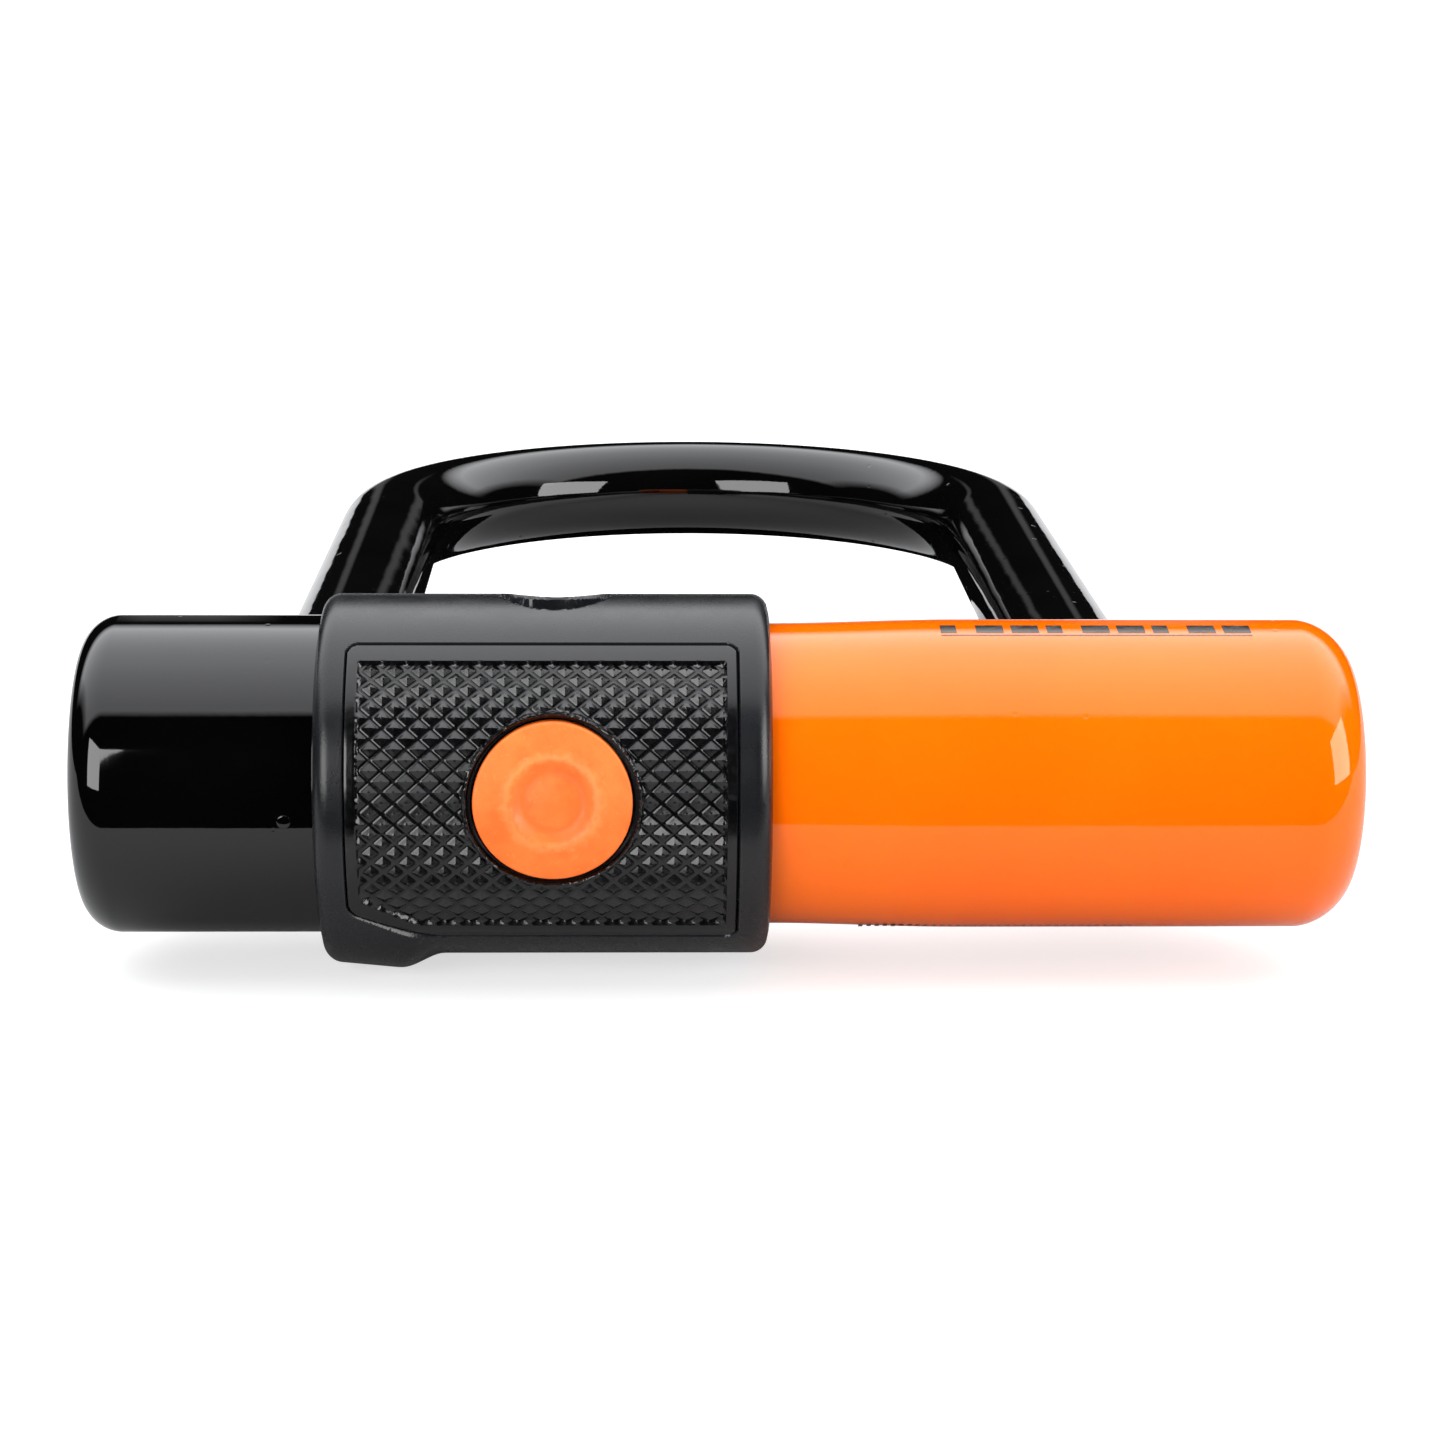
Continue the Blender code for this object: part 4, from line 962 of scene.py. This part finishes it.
def grip_pad():
    """A skin over the pad's face, cut to its outline and hole, with a skirt down into the collar's recess."""
    cells = 8
    step_x, step_y = PYRAMID_PITCH / (2 * cells), PYRAMID_ARC / (2 * cells)
    first = math.floor((PAD_LEFT - CORE_X) / step_x) - 1
    last = math.ceil((PAD_RIGHT - CORE_X) / step_x) + 1
    reach = math.ceil(to_arc(PAD_HALF_DEG) / step_y) + 1
    outside = {}
    for i in range(first, last + 1):
        for j in range(-reach, reach + 1):
            outside[i, j] = pad_outside(CORE_X + i * step_x, j * step_y)
    bm = bmesh.new()
    points = {}
    for i in range(first, last):
        for j in range(-reach, reach):
            corners = ((i, j), (i + 1, j), (i + 1, j + 1), (i, j + 1))
            if all(outside[corner] > 0.0 for corner in corners):
                continue
            for corner in corners:
                if corner not in points:
                    place = (CORE_X + corner[0] * step_x, corner[1] * step_y)
                    x, y = drawn_in(*place) if outside[corner] > 0.0 else place
                    radius, angle = pad_surface(x, y), y / COLLAR_RADIUS
                    points[corner] = bm.verts.new((x, -radius * math.cos(angle), radius * math.sin(angle)))
            low_left, low_right, high_right, high_left = (points[corner] for corner in corners)
            if rises_diagonally(i + 0.5, j + 0.5, 2 * cells):
                bm.faces.new((low_left, low_right, high_left))
                bm.faces.new((low_right, high_right, high_left))
            else:
                bm.faces.new((low_left, low_right, high_right))
                bm.faces.new((low_left, high_right, high_left))
    rim = [edge for edge in bm.edges if edge.is_boundary]
    skirt = bmesh.ops.extrude_edge_only(bm, edges=rim)["geom"]
    for vert in (item for item in skirt if isinstance(item, bmesh.types.BMVert)):
        out = math.hypot(vert.co.y, vert.co.z)
        vert.co.y *= PAD_SKIRT_RADIUS / out
        vert.co.z *= PAD_SKIRT_RADIUS / out
    piece = from_bmesh("pyramid_pad", bm, MATERIALS["pad_rubber"], COLLAR)
    finish_piece(piece, "collar", "pad_rubber", "grip_pad")


def plug_profile(out):
    """The plug's height over the collar's curve at a distance from its centre."""
    rim = 0.0003
    edge = min(rim, PLUG_RADIUS - out)
    height = -rim + math.sqrt(rim**2 - (rim - edge) ** 2)
    dish_radius, dish_flank, dome_radius, dome_height = 0.0052, 0.0019, 0.0032, 0.00025
    dish = smooth_step((dish_radius - out) / dish_flank)
    dome = max(0.0, 1 - (out / dome_radius) ** 2)
    return height - DIMPLE_DEPTH * dish + dome_height * dome


def dust_plug():
    """A soft disc flush with the collar, with a tooled dish at its centre."""
    steps = 144
    middle_radius, dish_end, rim_start = 0.0004, 0.0060, PLUG_RADIUS - 0.0004
    top = stops(
        (middle_radius, dish_end, 0.00014), (dish_end, rim_start, 0.0004), (rim_start, PLUG_RADIUS, 0.00004)
    )
    rings = [saddle_ring(CORE_X, -1, out, PLUG_TOP_RADIUS + plug_profile(out), steps) for out in top]
    under = reversed(stops((middle_radius, PLUG_RADIUS, 0.0008)))
    rings += [saddle_ring(CORE_X, -1, out, COLLAR_BORE + GAP, steps) for out in under]
    verts, faces = skin_rings(rings, capped=True)
    piece = mesh_of("soft_plug", verts, faces, MATERIALS["orange_rubber"], COLLAR)
    finish_piece(piece, "collar", "orange_rubber", "dust_plug")


# ---- CAD nodes that stay


def dress_cad_nodes():
    """Gives each CAD node the finished material of its slot."""
    slots = {entry["node"]: entry["material_slot"] for entry in frame["record"]["subparts"]}
    for name, node in frame["nodes"].items():
        material = MATERIALS[slots[name]]
        node.data.materials.clear()
        node.data.materials.append(material)


# ---- studio


def flat_card(name, x_range, y_range, height):
    """A level rectangle."""
    (left, right), (front, back) = x_range, y_range
    bm = bmesh.new()
    corners = [(left, front), (right, front), (right, back), (left, back)]
    bm.faces.new([bm.verts.new((x, y, height)) for x, y in corners])
    mesh = bpy.data.meshes.new(name)
    bm.to_mesh(mesh)
    bm.free()
    card = bpy.data.objects.new(name, mesh)
    bpy.context.scene.collection.objects.link(card)
    return card


def area_light(name, location, target, size, power):
    """A soft rectangular light."""
    data = bpy.data.lights.new(name, "AREA")
    data.shape = "RECTANGLE"
    data.size, data.size_y = size
    data.energy = power
    light = bpy.data.objects.new(name, data)
    light.location = location
    light.rotation_euler = (Vector(target) - Vector(location)).to_track_quat("-Z", "Y").to_euler()
    light.visible_camera = False
    bpy.context.scene.collection.objects.link(light)
    return light


def facing(tree, direction, towards):
    """The cosine between two directions."""
    node = add_node(tree, "ShaderNodeVectorMath", {0: direction, 1: towards}, operation="DOT_PRODUCT")
    return node.outputs["Value"]


def studio_floor():
    """A wide pale floor, and a dark card on it in front and behind that only reflections see."""
    floor = flat_card("floor", (-9.0, 9.0), (-6.0, 9.0), 0.0)
    floor.data.materials.append(paper_floor())
    dark, _, shader = start_material("dark_card")
    shader.inputs["Base Color"].default_value = (0.002, 0.002, 0.002, 1.0)
    shader.inputs["Specular IOR Level"].default_value = 0.0
    bend = AXIS_Y + BEND_Y + LEG_OFFSET
    for name, x_range, y_range in (
        ("front_card", (-9.0, 9.0), (-6.0, AXIS_Y - 0.063)),
        ("back_card", (-0.055, 0.055), (bend + 0.001, bend + 0.10)),
    ):
        card = flat_card(name, x_range, y_range, 0.0004)
        card.data.materials.append(dark)
        card.visible_camera = False
        card.visible_diffuse = False
        card.visible_shadow = False
        card.visible_transmission = False


def studio_sky():
    """A white tent from high in front, over the object and down behind it, with two dim stripes low behind.

    Where the camera looks past the floor it sees plain white.
    """
    front_edge, back_edge = math.radians(55.0), math.radians(28.0)
    open_air = 0.005
    world = bpy.data.worlds.new("studio_sky")
    bpy.context.scene.world = world
    world.use_nodes = True
    tree = world.node_tree
    background = tree.nodes["Background"]
    direction = add_node(tree, "ShaderNodeTexCoord").outputs["Generated"]
    past_front = facing(tree, direction, (0.0, math.sin(front_edge), math.cos(front_edge)))
    past_back = facing(tree, direction, (0.0, -math.sin(back_edge), math.cos(back_edge)))
    glow = remap(tree, past_front, (0.15, 0.70), (2.0, 3.0))
    front_ramp = remap(tree, past_front, (0.0, 0.08), (0.0, 1.0))
    back_ramp = remap(tree, past_back, (0.0, 0.16), (0.0, 1.0))
    sideways = add_node(tree, "ShaderNodeSeparateXYZ", {"Vector": direction}).outputs["X"]
    side_ramp = remap(tree, combine_values(tree, "ABSOLUTE", sideways, 0.0), (0.78, 0.90), (1.0, 0.0))
    tent = combine_values(tree, "MULTIPLY", glow, combine_values(tree, "MULTIPLY", front_ramp, back_ramp))
    tent = combine_values(tree, "MULTIPLY", tent, side_ramp)
    behind = remap(tree, facing(tree, direction, (0.0, 1.0, 0.0)), (0.90, 0.94), (0.0, 0.13))
    for place in (-0.13, 0.15):
        offset = combine_values(tree, "ABSOLUTE", combine_values(tree, "SUBTRACT", sideways, place), 0.0)
        stripe = combine_values(tree, "MULTIPLY", behind, remap(tree, offset, (0.01, 0.03), (1.0, 0.0)))
        tent = combine_values(tree, "ADD", tent, stripe)
    brightness = combine_values(tree, "ADD", tent, open_air)
    backdrop = add_node(tree, "ShaderNodeLightPath").outputs["Is Camera Ray"]
    seen = combine_values(tree, "MAXIMUM", brightness, backdrop)
    tree.links.new(seen, background.inputs["Strength"])
    background.inputs["Color"].default_value = (0.965, 0.975, 1.0, 1.0)


def studio_lights():
    """A softbox on each side of the camera, the right one further round.

    Each has a twin that lights only glossy surfaces, so that reflections of it are a little brighter.
    """
    heart = (0.0, AXIS_Y, AXIS_Z)
    height, power, gloss_power = 0.87, 19.5, 3.5
    for name, place, width in (
        ("left_softbox", (-0.85, AXIS_Y - 1.31, 0.50), 1.07),
        ("right_softbox", (1.41, AXIS_Y - 0.66, 0.50), 1.00),
    ):
        area_light(name, place, heart, (width, height), power)
        twin = area_light(f"{name}_gloss", place, heart, (width, height), gloss_power)
        twin.visible_diffuse = False


def studio_camera():
    """A long lens a little above the shackle's plane, nearly square to the crossbar and slightly tilted."""
    data = bpy.data.cameras.new("camera")
    data.sensor_width = 36.0
    data.lens = 86.13
    data.shift_x = 0.0056
    data.shift_y = 0.0350
    camera = bpy.data.objects.new("camera", data)
    target = Vector((SHACKLE_X, AXIS_Y, AXIS_Z))
    distance, elevation, yaw, roll = 0.4131, math.radians(14.25), math.radians(1.37), math.radians(0.325)
    level = distance * math.cos(elevation)
    away = Vector((-level * math.sin(yaw), -level * math.cos(yaw), distance * math.sin(elevation)))
    camera.location = target + away
    aim = (-away).to_track_quat("-Z", "Y") @ Quaternion((0.0, 0.0, 1.0), roll)
    camera.rotation_euler = aim.to_euler()
    bpy.context.scene.collection.objects.link(camera)
    bpy.context.scene.camera = camera
    bpy.context.scene.view_settings.view_transform = "Standard"


dress_cad_nodes()
shackle_coating()
shackle_rod()
black_sleeve()
vinyl_blister()
orange_sleeve()
centre_sleeve()
leg_grommets()
key_face()
print_marks()
cover_collar()
grip_pad()
dust_plug()
studio_floor()
studio_sky()
studio_lights()
studio_camera()
